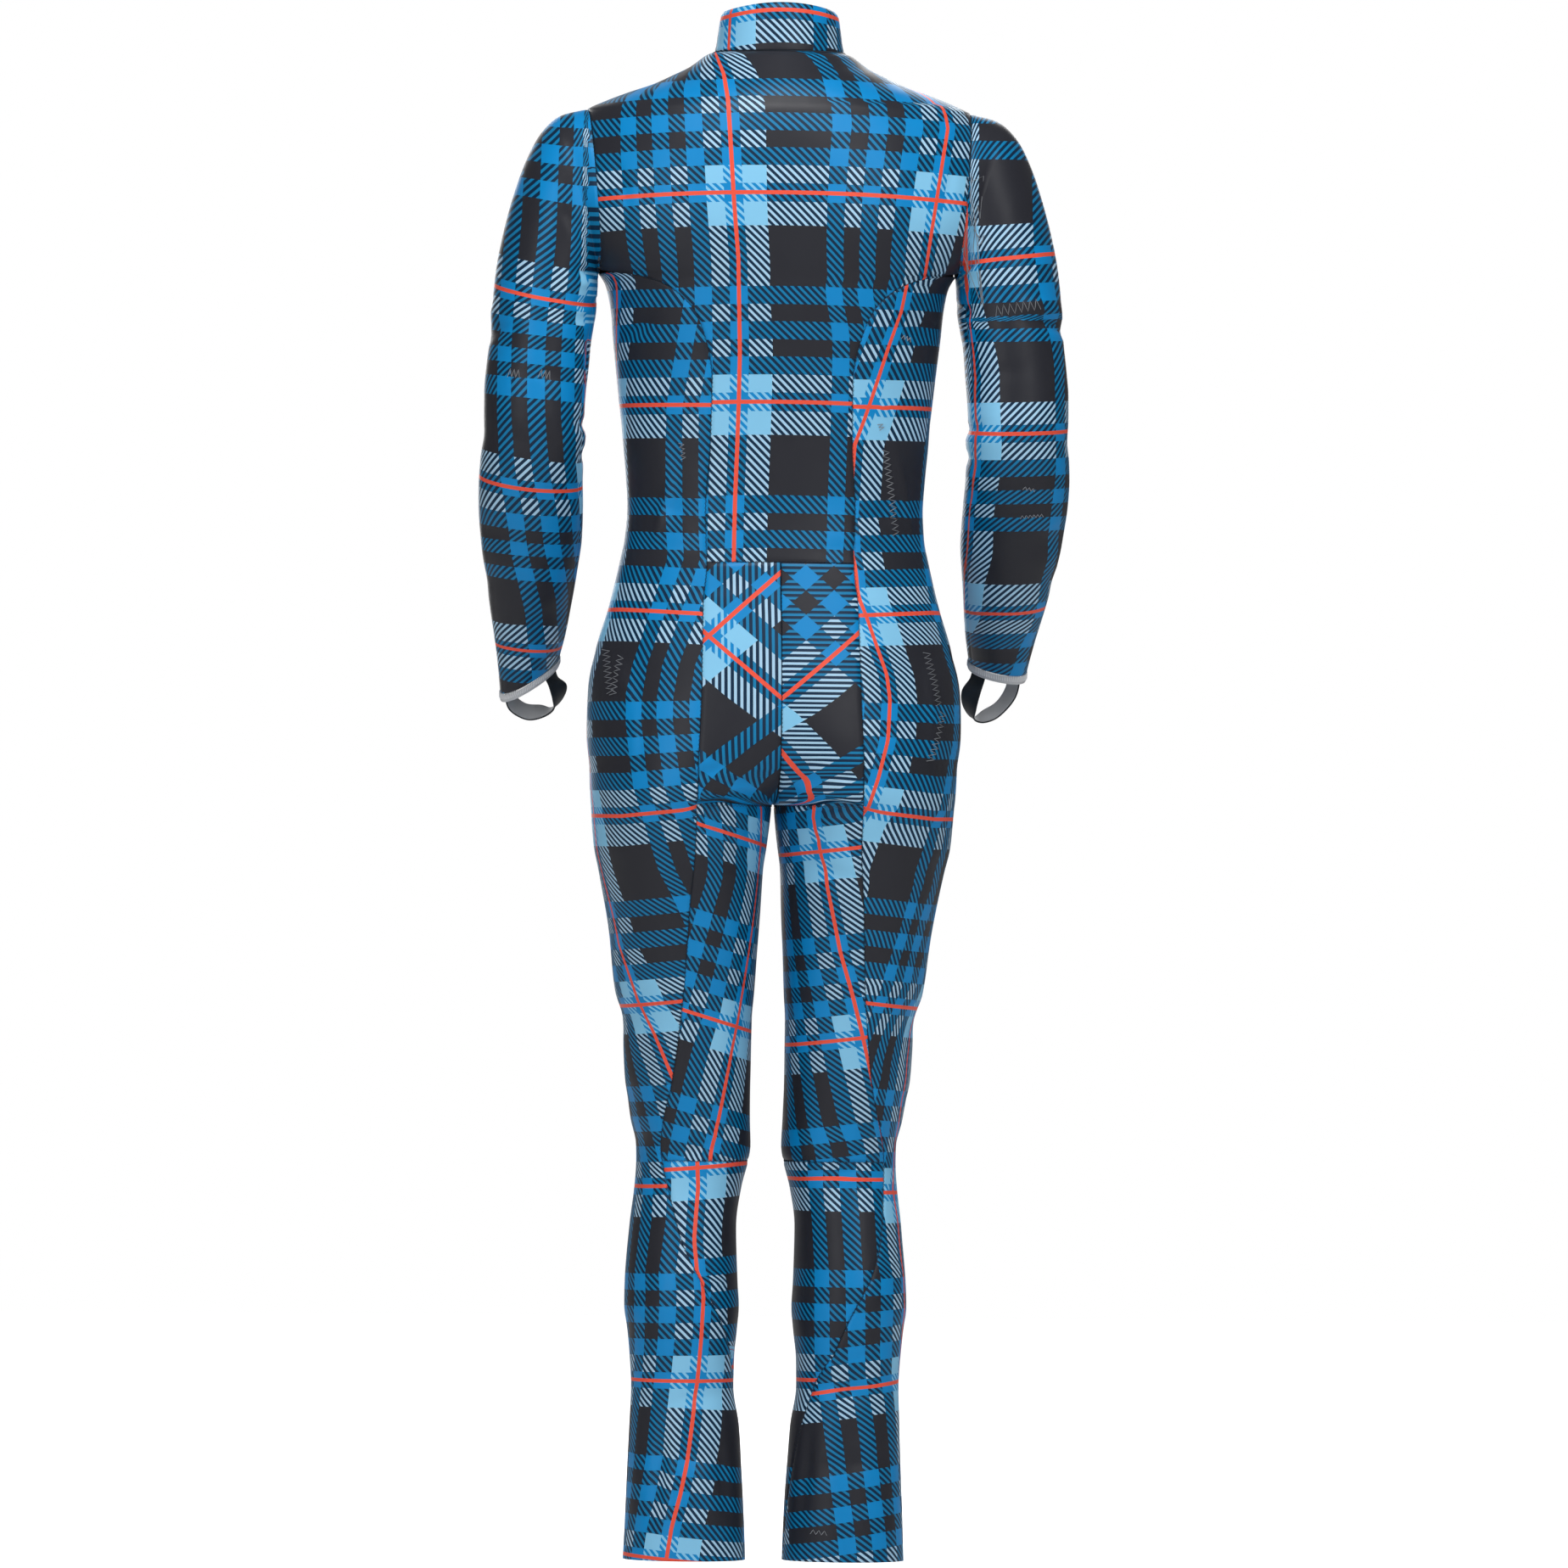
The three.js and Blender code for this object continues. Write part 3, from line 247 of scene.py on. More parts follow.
# Creases: facing (1 back, -1 front), side, two ends, half width and depth (a ridge where it is negative)
bodyCreases = table(
    ["facing", "side", "x0", "z0", "x1", "z1", "reach", "depth"],
    [
        [1, -1, 22, -668, 82, -680, 10, 5.4], [1, 1, 24, -670, 88, -684, 10, 5.4],
        [1, 1, 10, -652, 78, -646, 8, 2.8], [1, -1, 40, -636, 84, -652, 7, 2.6],
        [1, -1, 18, -716, 60, -730, 12, 2.5], [1, 1, 16, -722, 70, -742, 12, 2.5],
        [1, -1, 40, -978, 96, -990, 11, 3], [1, 1, 32, -1006, 96, -996, 11, 3],
        [1, -1, 112, -236, 146, -262, 11, 2.5], [1, 1, 108, -240, 146, -266, 11, 2.5],
        [1, -1, 20, -452, 120, -448, 13, 2.2], [1, 1, 20, -450, 120, -444, 13, 2.2],
        [1, -1, 30, -1196, 96, -1212, 12, 2.4], [1, 1, 34, -1190, 100, -1204, 12, 2.4],
        [1, -1, 24, -1262, 104, -1252, 12, 2], [1, 1, 30, -1268, 110, -1256, 12, 2],
        # bunched cloth under the seat
        [1, -1, 4, -648, 62, -657, 5, 2.2], [1, -1, 20, -684, 66, -690, 6, -1.6],
        [1, 1, 6, -640, 44, -634, 4.5, 1.5], [1, 1, 10, -664, 66, -658, 4, -1.3],
        [1, 1, 14, -682, 74, -674, 4.5, 1.9], [1, 1, 18, -694, 60, -690, 4.5, -1.2],
        [1, 1, 20, -704, 52, -707, 4.5, 1.3],
        # small of the back, back of the knees and flare of the hems
        [1, -1, 60, -420, 124, -404, 8, 1.5], [1, 1, 64, -424, 124, -410, 8, 1.5],
        [1, -1, 30, -478, 110, -486, 9, 1.3], [1, 1, 30, -474, 112, -484, 9, 1.3],
        [1, -1, 34, -962, 84, -966, 6, 1.3], [1, 1, 44, -1016, 106, -1012, 6, 1.5],
        [1, -1, 92, -1222, 104, -1326, 9, 3.4], [1, -1, 82, -1228, 88, -1326, 7, -1.4],
        [1, -1, 44, -1240, 34, -1320, 9, 2.0], [1, -1, 112, -1204, 118, -1300, 6, -1.2],
        [1, 1, 40, -1216, 30, -1330, 8, 2.4], [1, 1, 108, -1156, 60, -1176, 7, 1.2],
        # edges of the pads at the small of the back and at the hips
        [1, 1, 101, -346, 121, -438, 5, -1.7], [1, -1, 94, -376, 113, -446, 5, -1.7],
        [1, -1, 146, -544, 128, -592, 5, -1.7], [1, -1, 128, -584, 131, -656, 5, -1.5],
        [1, 1, 134, -544, 140, -650, 5, -1.7], [1, 1, 96, -340, 88, -300, 5, -1.2],
        [1, -1, 152, -96, 138, -150, 7, 1.4], [1, 1, 154, -92, 140, -146, 7, 1.4],
        # the hidden front
        [-1, -1, 20, -640, 120, -600, 12, 2.6], [-1, 1, 20, -636, 120, -596, 12, 2.6],
        [-1, -1, 26, -672, 110, -652, 9, 1.8], [-1, 1, 24, -674, 112, -650, 9, 1.8],
        [-1, -1, 14, -444, 110, -430, 12, 1.8], [-1, 1, 14, -440, 112, -424, 12, 1.8],
        [-1, -1, 34, -966, 104, -958, 10, 2.0], [-1, 1, 30, -1022, 106, -1010, 10, 2.0],
        [-1, -1, 110, -220, 140, -256, 10, 2.2], [-1, 1, 108, -222, 142, -260, 10, 2.2],
        [-1, -1, 30, -1200, 104, -1214, 11, 1.8], [-1, 1, 32, -1196, 104, -1206, 11, 1.8],
    ])


@lru_cache(maxsize=None)
def sectionAt(z):
    inner, outer, back, flank, front, power, drop = (
        valueAt(bodySections, "z", z, name)
        for name in ("inner", "outer", "back", "flank", "front", "power", "drop"))
    return (inner + outer) / 2, (outer - inner) / 2, back, flank, front, 2 / power, drop


def bodySurface(side, z, angle):
    middle, half, back, flank, front, rounding, drop = sectionAt(z)
    sin, cos = math.sin(angle), math.cos(angle)
    depth = back - flank if cos > 0 else flank - front
    return Vector((side * (middle + half * signedPower(sin, rounding)),
                   flank + depth * signedPower(cos, rounding),
                   z - (drop * cos * cos if cos < 0 else 0)))


def bodyNormal(side, z, angle):
    step, turn = 1.5, 0.02
    up = bodySurface(side, min(round(z + step, 3), 0.0), angle)
    down = bodySurface(side, max(round(z - step, 3), cut["hemZ"]), angle)
    ahead = bodySurface(side, z, angle + turn)
    behind = bodySurface(side, z, angle - turn)
    return (side * (ahead - behind).cross(up - down)).normalized()


def angleAt(z, x):
    middle, half, _, _, _, rounding, _ = sectionAt(z)
    return math.asin(signedPower(clamp((x - middle) / half, -1, 1), 1 / rounding))


# The armhole seam, and how far each piece stays from its middle
beyondSeam = 0.1


def armholeX(z):
    share = clamp((z - cut["shoulderTipZ"]) / (cut["armpitZ"] - cut["shoulderTipZ"]))
    return cut["shoulderTipX"] + share * (cut["armpitX"] - cut["shoulderTipX"])


@lru_cache(maxsize=None)
def frontArmholeAngle(z):
    drop = sectionAt(z)[6]
    angle = math.pi / 2
    for _ in range(6):
        angle = math.pi - angleAt(z, armholeX(z - drop * math.cos(angle) ** 2))
    return angle


def backEdge(side, z):
    if z >= cut["shoulderTipZ"]:
        return math.pi / 2
    if z > cut["armpitZ"]:
        return angleAt(z, armholeX(z))
    if z >= sideSeam[-1]["z"]:
        return angleAt(z, valueAt(sideSeam, "z", z, sideName(side)))
    return math.radians(valueAt(calfSeam, "z", z, sideName(side)))


def frontEdge(z):
    if z >= cut["shoulderTipZ"]:
        return math.pi / 2
    if z > cut["armpitZ"]:
        return frontArmholeAngle(z)
    return math.radians(valueAt(frontSeam, "z", z, "degrees"))


def backMiddle(z):
    if z > cut["crotchZ"]:
        return angleAt(z, 0)
    return math.radians(valueAt(inseam, "z", z, "degrees"))


def frontMiddle(z):
    if z > cut["crotchZ"]:
        beside = cut["zipHalfWidth"] + cut["seamGap"] if z >= cut["zipBottomZ"] else 0
        return math.pi - angleAt(z, beside)
    return 2 * math.pi + math.radians(valueAt(inseam, "z", z, "degrees"))


def creaseDepth(facing, side, x, z):
    depth = 0.0
    for crease in bodyCreases:
        if crease["side"] != side or crease["facing"] * facing <= 0:
            continue
        dx, dz = crease["x1"] - crease["x0"], crease["z1"] - crease["z0"]
        length = math.hypot(dx, dz)
        along = ((x - crease["x0"]) * dx + (z - crease["z0"]) * dz) / length
        away = ((z - crease["z0"]) * dx - (x - crease["x0"]) * dz) / length
        ends = softPatch(abs(2 * along / length - 1) / 1.25)
        depth += crease["depth"] * ends * softPatch(abs(away) / crease["reach"])
    return depth


# A crease takes up cloth, so the print bends towards it
def foldedIn(side, point, z):
    return drape["gather"] * creaseDepth(1 if point.y < 0 else -1, side, abs(point.x), z)


def padRise(x, z):
    return sum(pad["rise"] * softPatch(math.sqrt(((x - pad["x"]) / pad["halfWidth"]) ** 4
                                                 + ((z - pad["z"]) / pad["halfHeight"]) ** 4))
               for pad in bodyPads)


def clothWobble(point):
    return drape["wobble"] * noise.noise(point / drape["wobbleSize"])


def bodyPoint(side, z, angle, dip=0.0):
    point = bodySurface(side, z, angle)
    normal = bodyNormal(side, z, angle)
    x, facing = abs(point.x), math.cos(angle)
    lift = clothWobble(point) - dip
    lift += padRise(x, point.z) * clamp((facing - drape["padFrom"]) / drape["padRun"])
    lift -= creaseDepth(facing, side, x, point.z) * clamp(abs(facing) * drape["creaseRise"])
    return point + normal * lift


def edgeDip(distance):
    return drape["seamDip"] * softPatch(distance / drape["seamReach"])


# Shares of a row or column from seam to seam, close together beside the seams
def rowShares(length, count, seams=(True, True)):
    def fine(isSeam):
        offsets = drape["edge"] if isSeam else drape["openEdge"]
        return [min(d, length * drape["edgeShare"] * (i + 1)) / length for i, d in enumerate(offsets)]
    start, end = fine(seams[0]), fine(seams[1])
    inner = count - len(start) - len(end)
    span = 1 - start[-1] - end[-1]
    middle = [start[-1] + span * (i + 1) / (inner + 1) for i in range(inner)]
    return start + middle + [1 - share for share in reversed(end)]


# Heights from top to bottom, closer where the body widens quickly
def heightsBetween(top, bottom, seams=(True, True)):
    heights, z, probe = [top], top, 2
    while z > bottom:
        here, below = sectionAt(round(z, 2)), sectionAt(round(max(z - probe, bottom), 2))
        half, back = (abs(here[i] - below[i]) / probe for i in (1, 2))
        z -= drape["cell"] / math.hypot(1, max(half, back))
        heights.append(z)
    offsets = drape["edge"]
    near = offsets[-1] + 1
    kept = [z for z in heights if top - z > near and z - bottom > near]
    first = [top - d for d in offsets] if seams[0] else [top]
    last = [bottom + d for d in reversed(offsets)] if seams[1] else [bottom + 1.5, bottom]
    return [round(z, 3) for z in first + kept + last]


# Print: a check charted in millimetres from the middle of one bright line to the next, the same
# across and down. w is pale, b wide blue, t thin blue, k charcoal and r the bright line.
sett = {
    "bands": [("r", 1.85), ("t", 6.15), ("w", 21.7), ("k", 53.2), ("b", 15.7), ("k", 15.4), ("b", 16.0),
              ("k", 15.4), ("b", 15.7), ("w", 16.0), ("t", 6.55), ("r", 1.85)],
    "hatch": 6.87,
    "hatchShare": 0.47,
    "line": (236, 84, 62),
    "charcoal": (38, 39, 46),
    "blue": (0, 132, 198),
    "lightBlue": (132, 197, 232),
    "paleHatch": (166, 204, 230),
    "navy": (0, 38, 66),
    "blueHatch": (6, 120, 170),
}
settLength = sum(width for _, width in sett["bands"])


# Where lines of the print lie: height, the place seen from behind, and the print's own measure
# across. A line at depth y shows viewSlant * y beside its true place.
viewSlant = 0.07
printLines = {
    "back_panel": [
        [-1.5, -58, 0], [-23, -50, 0], [-46, -46, 0], [-80, -43.5, 0], [-107, -41.5, 0],
        [-137, -39.5, 0], [-188, -35, 0], [-227, -34, 0], [-273, -33, 0], [-315, -33.5, 0],
        [-356, -34.5, 0], [-402, -36, 0], [-459, -36.7, 0]],
    "side_panel_left": [
        [-200, -100, 60], [-320, -105, 75], [-457, -96.5, 83], [-530, -119.5, 83], [-550, -126, 83],
        [-580, -130, 83], [-600, -130, 83], [-660, -123.8, 83], [-733, -101, 83],
        [-799.5, -136, 0], [-850, -118.5, 0], [-878, -104, 0], [-920, -86, 0], [-1016, -90.5, -40],
        [-1047, -91.5, -40], [-1093, -97.6, -40], [-1115, -57.2, 0], [-1148, -58.5, 0], [-1181, -61, 0],
        [-1214, -64.6, 0], [-1260, -70, 0], [-1290, -76, 0], [-1320, -83.6, 0], [-1348, -88, 0]],
    "side_panel_right": [
        [-207, 116, 0], [-233, 111, 0], [-264, 100, 0], [-291, 91.6, 0], [-313, 84.6, 0],
        [-332, 78, 0], [-352, 70.5, 0], [-420, 66, 0], [-489, 75.7, 0], [-506, 82.6, 0],
        [-557, 101, 0], [-579, 104, 0], [-615, 102.6, 0], [-648, 94.6, 0], [-676, 85.5, 0],
        [-692, 101, 29.7], [-730, 88, 29.7], [-742, 127.3, 82.9], [-762, 121.4, 82.9],
        [-791, 113.4, 82.9], [-820, 103.2, 82.9], [-835, 125.5, 130], [-880, 107.7, 130],
        [-903, 101.7, 130], [-915, 114.5, 161.1], [-936, 111.4, 161.1], [-1017, 104, 168],
        [-1047, 105.7, 161.1], [-1078, 109, 161.1], [-1096, 87.6, 130],
        [-1182, 88.6, 130], [-1211, 63.6, 98.6], [-1237, 67.9, 98.6], [-1290, 75, 98.6],
        [-1321, 79.8, 98.6], [-1350, 83, 98.6]],
    "thigh_back_left": [
        [-708, -9.5, 0], [-746, -12.5, 0], [-786, -17, 0], [-823, -22, 0], [-863, -28, 0],
        [-893, -34, 0], [-936, -41.6, 0], [-965, -47, 0], [-989, -52, 0]],
    "thigh_back_right": [
        [-682, 36, 0], [-714, 43, 0], [-761, 53, 0], [-804, 62, 0], [-841, 73, 0],
        [-875.5, 82, 0], [-935, 96, 0], [-989, 106, 0]],
    "calf_inner_left": [
        [-992, -64, 0], [-1016, -63, 0], [-1062.5, -66, 0], [-1093, -63, 0], [-1100, -36, 29.7],
        [-1170, -34, 29.7], [-1200, None, 62], [-1350, None, 62]],
    "calf_inner_right": [
        [-1008, 48, 98.6], [-1047, 51.7, 98.6], [-1093, 54.8, 98.6], [-1154, 56, 98.6],
        [-1190, None, 20], [-1350, None, 22]],
}
# Where the cloth of a side is drawn in across, beside the back seam: measure for each mm of it
sideCrowd = table(
    ["z", "left", "right"],
    [[-200, 1, 1], [-640, 1, 1], [-692, 1, 1.12], [-730, 1, 1.18], [-762, 1, 1.32], [-791, 1, 1.42],
     [-835, 1, 1.4], [-880, 1, 1.6], [-936, 1, 1.42], [-1000, 1, 1.15], [-1060, 1, 1], [-1350, 1, 1]])
crowdedWidth = 60.0

# Print's own measure down each panel: height, then measure, with the bright line at 0
printLevels = {
    "back_panel": [[0, -129], [-129, 0], [-314.6, 185.5], [-457.5, 328.4]],
    "side_panel_left": [[-200, -118], [-318, 0], [-504, 185.5], [-677, 371], [-848, 556.5],
                        [-1014, 742], [-1189, 927.5], [-1214, 957.2], [-1350, 1113]],
    "side_panel_right": [[-200, -118], [-318, 0], [-504, 185.5], [-677, 371], [-848, 556.5],
                         [-1018, 742], [-1196, 927.5], [-1222, 957.2], [-1350, 1097]],
    "front": [[0, -320], [-318, 0], [-504, 185.5], [-677, 371], [-848, 556.5],
              [-1014, 742], [-1188, 927.5], [-1350, 1099]],
    "thigh_back_left": [[-675, -30], [-702, 0], [-871, 185.5], [-993, 319.5]],
    "thigh_back_right": [[-675, -43], [-715, 0], [-886, 185.5], [-993, 301.5]],
    "calf_inner_left": [[-993, -3], [-1175, 182.5], [-1350, 366]],
    "calf_inner_right": [[-993, -17], [-1008, 0], [-1188, 185.5], [-1350, 357]],
    "seat": [[-457.5, 457.5], [-522, 521], [-578, 578], [-600, 604], [-625, 634], [-640, 650],
             [-675, 692]],
}
# How far the print's level changes across a side panel, for each mm outwards
sideTilt = table(
    ["z", "left", "right"],
    [[-200, 0, 0], [-318, 0, 0], [-504, 0.05, 0.05], [-677, -0.12, -0.12], [-848, -0.12, -0.12],
     [-1014, -0.05, -0.05], [-1189, 0.0, 0.15], [-1270, 0.16, 0.17], [-1350, 0.1, 0.16]])


# Number of the row, in rows that begin with falling heights, that a height comes after
def rowBefore(rows, z):
    i = 0
    while i < len(rows) - 2 and rows[i + 1][0] >= z:
        i += 1
    return i


def levelAt(panel, z):
    rows = printLevels[panel]
    i = rowBefore(rows, z)
    share = (z - rows[i][0]) / (rows[i + 1][0] - rows[i][0])
    return rows[i][1] + share * (rows[i + 1][1] - rows[i][1])


# Length along a row of points, up to each of them
def rowMeasure(points):
    along = [0.0]
    for before, point in zip(points, points[1:]):
        along.append(along[-1] + (point - before).length)
    return along


# Length along a row where a place is seen from behind. Points past farY are on the far side, and are
# taken only where none nearer will do.
farY = 40.0
farLoss = 50.0


def measureWhereSeen(points, along, seenX):
    def missed(i):
        return abs(seen[i] - seenX) + (farLoss if points[i].y > farY else 0)

    seen = [point.x - viewSlant * point.y for point in points]
    best = min(range(len(points)), key=missed)
    for i in range(max(best - 1, 0), min(best + 1, len(points) - 1)):
        low, high = seen[i], seen[i + 1]
        if (low - seenX) * (high - seenX) <= 0 and low != high:
            return along[i] + (along[i + 1] - along[i]) * (seenX - low) / (high - low)
    return along[best] + math.copysign(abs(seen[best] - seenX), best - 0.5)


# Print measure at the first point of a row: a line's place is read between the heights where it
# shows, and where one line gives way to another the two are blended. A row with no place gives
# the measure at the first point itself.
def startAt(panel, z, points, along, way):
    rows = printLines[panel]
    i = rowBefore(rows, z)
    top, low = rows[i], rows[i + 1]
    share = clamp((z - top[0]) / (low[0] - top[0]))

    def startFrom(seenX, measure):
        return measure if seenX is None else measure - way * measureWhereSeen(points, along, seenX)

    if top[2] == low[2] and top[1] is not None:
        return startFrom(top[1] + share * (low[1] - top[1]), top[2])
    first, second = startFrom(*top[1:]), startFrom(*low[1:])
    return first + share * (second - first)


print("sections, seams and print charts ready")


# Materials

def srgb(colour):
    def channel(value):
        value /= 255
        return value / 12.92 if value <= 0.04045 else ((value + 0.055) / 1.055) ** 2.4
    return tuple(channel(value) for value in colour) + (1.0,)


def newGroup(name, inputs, outputs):
    group = bpy.data.node_groups.new(name, "ShaderNodeTree")
    for socket, kind, value in inputs:
        made = group.interface.new_socket(socket, in_out="INPUT", socket_type=kind)
        if value is not None:
            made.default_value = value
    for socket, kind in outputs:
        group.interface.new_socket(socket, in_out="OUTPUT", socket_type=kind)
    return group, group.nodes.new("NodeGroupInput"), group.nodes.new("NodeGroupOutput")


def feed(tree, socket, value):
    if isinstance(value, bpy.types.NodeSocket):
        tree.links.new(value, socket)
    else:
        socket.default_value = value


def mathStep(tree, operation, first, second=0.0, third=None):
    node = tree.nodes.new("ShaderNodeMath")
    node.operation = operation
    feed(tree, node.inputs[0], first)
    feed(tree, node.inputs[1], second)
    if third is not None:
        feed(tree, node.inputs[2], third)
    return node.outputs[0]


def mixStep(tree, share, first, second):
    node = tree.nodes.new("ShaderNodeMix")
    node.data_type = "RGBA"
    feed(tree, node.inputs[0], share)
    feed(tree, node.inputs[6], first)
    feed(tree, node.inputs[7], second)
    return node.outputs[2]


# Masks of the bands that a measure in metres falls in
def bandMasks(tree, measure):
    place = mathStep(tree, "FRACT", mathStep(tree, "DIVIDE", measure, settLength * mm))
    ramp = tree.nodes.new("ShaderNodeValToRGB")
    ramp.color_ramp.interpolation = "CONSTANT"
    codes = {"w": (1, 0, 0, 1), "b": (0, 1, 0, 1), "t": (0, 0, 1, 1), "k": (0, 0, 0, 1), "r": (1, 1, 1, 1)}
    at = 0.0
    stops = ramp.color_ramp.elements
    stops[1].position = 1.0
    for i, (band, width) in enumerate(sett["bands"]):
        stop = stops[0] if i == 0 else stops.new(at / settLength)
        stop.color = codes[band]
        at += width
    stops[len(stops) - 1].color = codes["r"]
    feed(tree, ramp.inputs[0], place)
    split = tree.nodes.new("ShaderNodeSeparateColor")
    feed(tree, split.inputs[0], ramp.outputs[0])
    pale, wide, thin = split.outputs[0], split.outputs[1], split.outputs[2]
    line = mathStep(tree, "MULTIPLY", pale, thin)
    anyBlue = mathStep(tree, "MAXIMUM", wide, thin)
    dark = mathStep(tree, "SUBTRACT", 1.0, mathStep(tree, "MAXIMUM", pale, anyBlue))
    return {"pale": pale, "thin": thin, "blue": anyBlue, "line": line, "dark": dark}


# The printed check: solid where like bands cross, hatched on the slant where unlike ones do
def makeCheckGroup():
    group, given, result = newGroup(
        "printedCheck",
        [("Place", "NodeSocketVector", None)],
        [("Color", "NodeSocketColor")])
    split = group.nodes.new("ShaderNodeSeparateXYZ")
    feed(group, split.inputs[0], given.outputs["Place"])
    across, down = split.outputs[0], split.outputs[1]
    u, v = bandMasks(group, across), bandMasks(group, down)

    def both(first, second):
        return mathStep(group, "MULTIPLY", first, second)

    def either(first, second):
        return mathStep(group, "MAXIMUM", first, second)

    slant = mathStep(group, "SUBTRACT", across, down)
    phase = mathStep(group, "FRACT", mathStep(group, "DIVIDE", slant, sett["hatch"] * mm))
    hatch = mathStep(group, "LESS_THAN", phase, sett["hatchShare"])
    navy = srgb(sett["navy"])
    cloth = mixStep(group, hatch, navy, srgb(sett["blueHatch"]))
    paleCloth = mixStep(group, hatch, navy, srgb(sett["paleHatch"]))
    brightCloth = mixStep(group, hatch, srgb(sett["blue"]), srgb(sett["lightBlue"]))
    paleDark = either(both(u["pale"], v["dark"]), both(u["dark"], v["pale"]))
    paleThin = either(both(u["pale"], v["thin"]), both(u["thin"], v["pale"]))
    cloth = mixStep(group, paleDark, cloth, paleCloth)
    cloth = mixStep(group, paleThin, cloth, brightCloth)
    cloth = mixStep(group, both(u["dark"], v["dark"]), cloth, srgb(sett["charcoal"]))
    cloth = mixStep(group, both(u["blue"], v["blue"]), cloth, srgb(sett["blue"]))
    cloth = mixStep(group, both(u["pale"], v["pale"]), cloth, srgb(sett["lightBlue"]))
    cloth = mixStep(group, either(u["line"], v["line"]), cloth, srgb(sett["line"]))
    feed(group, result.inputs["Color"], cloth)
    return group


# Fine ribs of the knit and the slight mottling of its gloss
knitFace = {"mottleScale": 60.0, "mottleDetail": 3.0, "course": 0.6, "mottle": 1.2, "glossSpread": 0.16}


def makeKnitGroup():
    group, given, result = newGroup(
        "knitFace",
        [("Place", "NodeSocketVector", None), ("Rib", "NodeSocketFloat", 0.9 * mm),
         ("Gloss", "NodeSocketFloat", 0.42)],
        [("Height", "NodeSocketFloat"), ("Roughness", "NodeSocketFloat")])
    split = group.nodes.new("ShaderNodeSeparateXYZ")
    feed(group, split.inputs[0], given.outputs["Place"])
    turn = mathStep(group, "DIVIDE", split.outputs[0], given.outputs["Rib"])
    rib = mathStep(group, "PINGPONG", turn, 0.5)
    rise = mathStep(group, "DIVIDE", split.outputs[1], given.outputs["Rib"])
    course = mathStep(group, "PINGPONG", rise, 0.5)
    mottle = group.nodes.new("ShaderNodeTexNoise")
    mottle.inputs["Scale"].default_value = knitFace["mottleScale"]
    mottle.inputs["Detail"].default_value = knitFace["mottleDetail"]
    feed(group, mottle.inputs["Vector"], given.outputs["Place"])
    knit = mathStep(group, "ADD", rib, mathStep(group, "MULTIPLY", course, knitFace["course"]))
    height = mathStep(group, "MULTIPLY_ADD", mottle.outputs[0], knitFace["mottle"], knit)
    spread = mathStep(group, "SUBTRACT", mottle.outputs[0], 0.5)
    feed(group, result.inputs["Height"], height)
    feed(group, result.inputs["Roughness"],
         mathStep(group, "MULTIPLY_ADD", spread, knitFace["glossSpread"], given.outputs["Gloss"]))
    return group


checkGroup = makeCheckGroup()
knitGroup = makeKnitGroup()


def newMaterial(name, **values):
    material = bpy.data.materials.new(name)
    material.use_nodes = True
    shader = material.node_tree.nodes["Principled BSDF"]
    for socket, value in values.items():
        shader.inputs[socket.replace("_", " ")].default_value = value
    return material, material.node_tree, shader


def placeGroup(tree, group, **values):
    node = tree.nodes.new("ShaderNodeGroup")
    node.node_tree = group
    for socket, value in values.items():
        feed(tree, node.inputs[socket], value)
    return node


def clothBump(tree, shader, place, strength, distance, rib, gloss):
    knit = placeGroup(tree, knitGroup, Place=place, Rib=rib, Gloss=gloss)
    bump = tree.nodes.new("ShaderNodeBump")
    bump.inputs["Strength"].default_value = strength
    bump.inputs["Distance"].default_value = distance
    feed(tree, bump.inputs["Height"], knit.outputs["Height"])
    feed(tree, shader.inputs["Normal"], bump.outputs[0])
    feed(tree, shader.inputs["Roughness"], knit.outputs["Roughness"])


def printedCloth(name):
    material, tree, shader = newMaterial(
        name, IOR=1.45, Specular_IOR_Level=0.3, Sheen_Weight=0.01, Sheen_Roughness=0.4)
    uv = tree.nodes.new("ShaderNodeUVMap")
    uv.uv_map = "printMap"
    check = placeGroup(tree, checkGroup, Place=uv.outputs[0])
    feed(tree, shader.inputs["Base Color"], check.outputs[0])
    clothBump(tree, shader, uv.outputs[0], strength=0.25, distance=0.08 * mm, rib=0.9 * mm, gloss=0.43)
    return material


# A colour that noise makes lighter here and there. Gives the place and the noise.
def speckle(tree, shader, colour, scale, gain):
    place = tree.nodes.new("ShaderNodeTexCoord").outputs["Object"]
    spots = tree.nodes.new("ShaderNodeTexNoise")
    spots.inputs["Scale"].default_value = scale
    feed(tree, spots.inputs["Vector"], place)
    light = tuple(min(1.0, value * gain) for value in srgb(colour)[:3]) + (1.0,)
    feed(tree, shader.inputs["Base Color"], mixStep(tree, spots.outputs[0], srgb(colour), light))
    return place, spots.outputs[0]


def plainCloth(name, colour, gloss):
    material, tree, shader = newMaterial(name, IOR=1.45, Sheen_Weight=0.1, Sheen_Roughness=0.5)
    place, _ = speckle(tree, shader, colour, scale=90.0, gain=1.16)
    clothBump(tree, shader, place, strength=0.4, distance=0.12 * mm, rib=1.1 * mm, gloss=gloss)
    return material


def metal(name, colour, gloss):
    material, tree, shader = newMaterial(name, Metallic=1.0, Roughness=gloss)
    _, spots = speckle(tree, shader, colour, scale=400.0, gain=1.35)
    glossSpread = 0.18
    rough = mathStep(tree, "MULTIPLY_ADD", spots, glossSpread, gloss - 0.08)
    feed(tree, shader.inputs["Roughness"], rough)
    return material


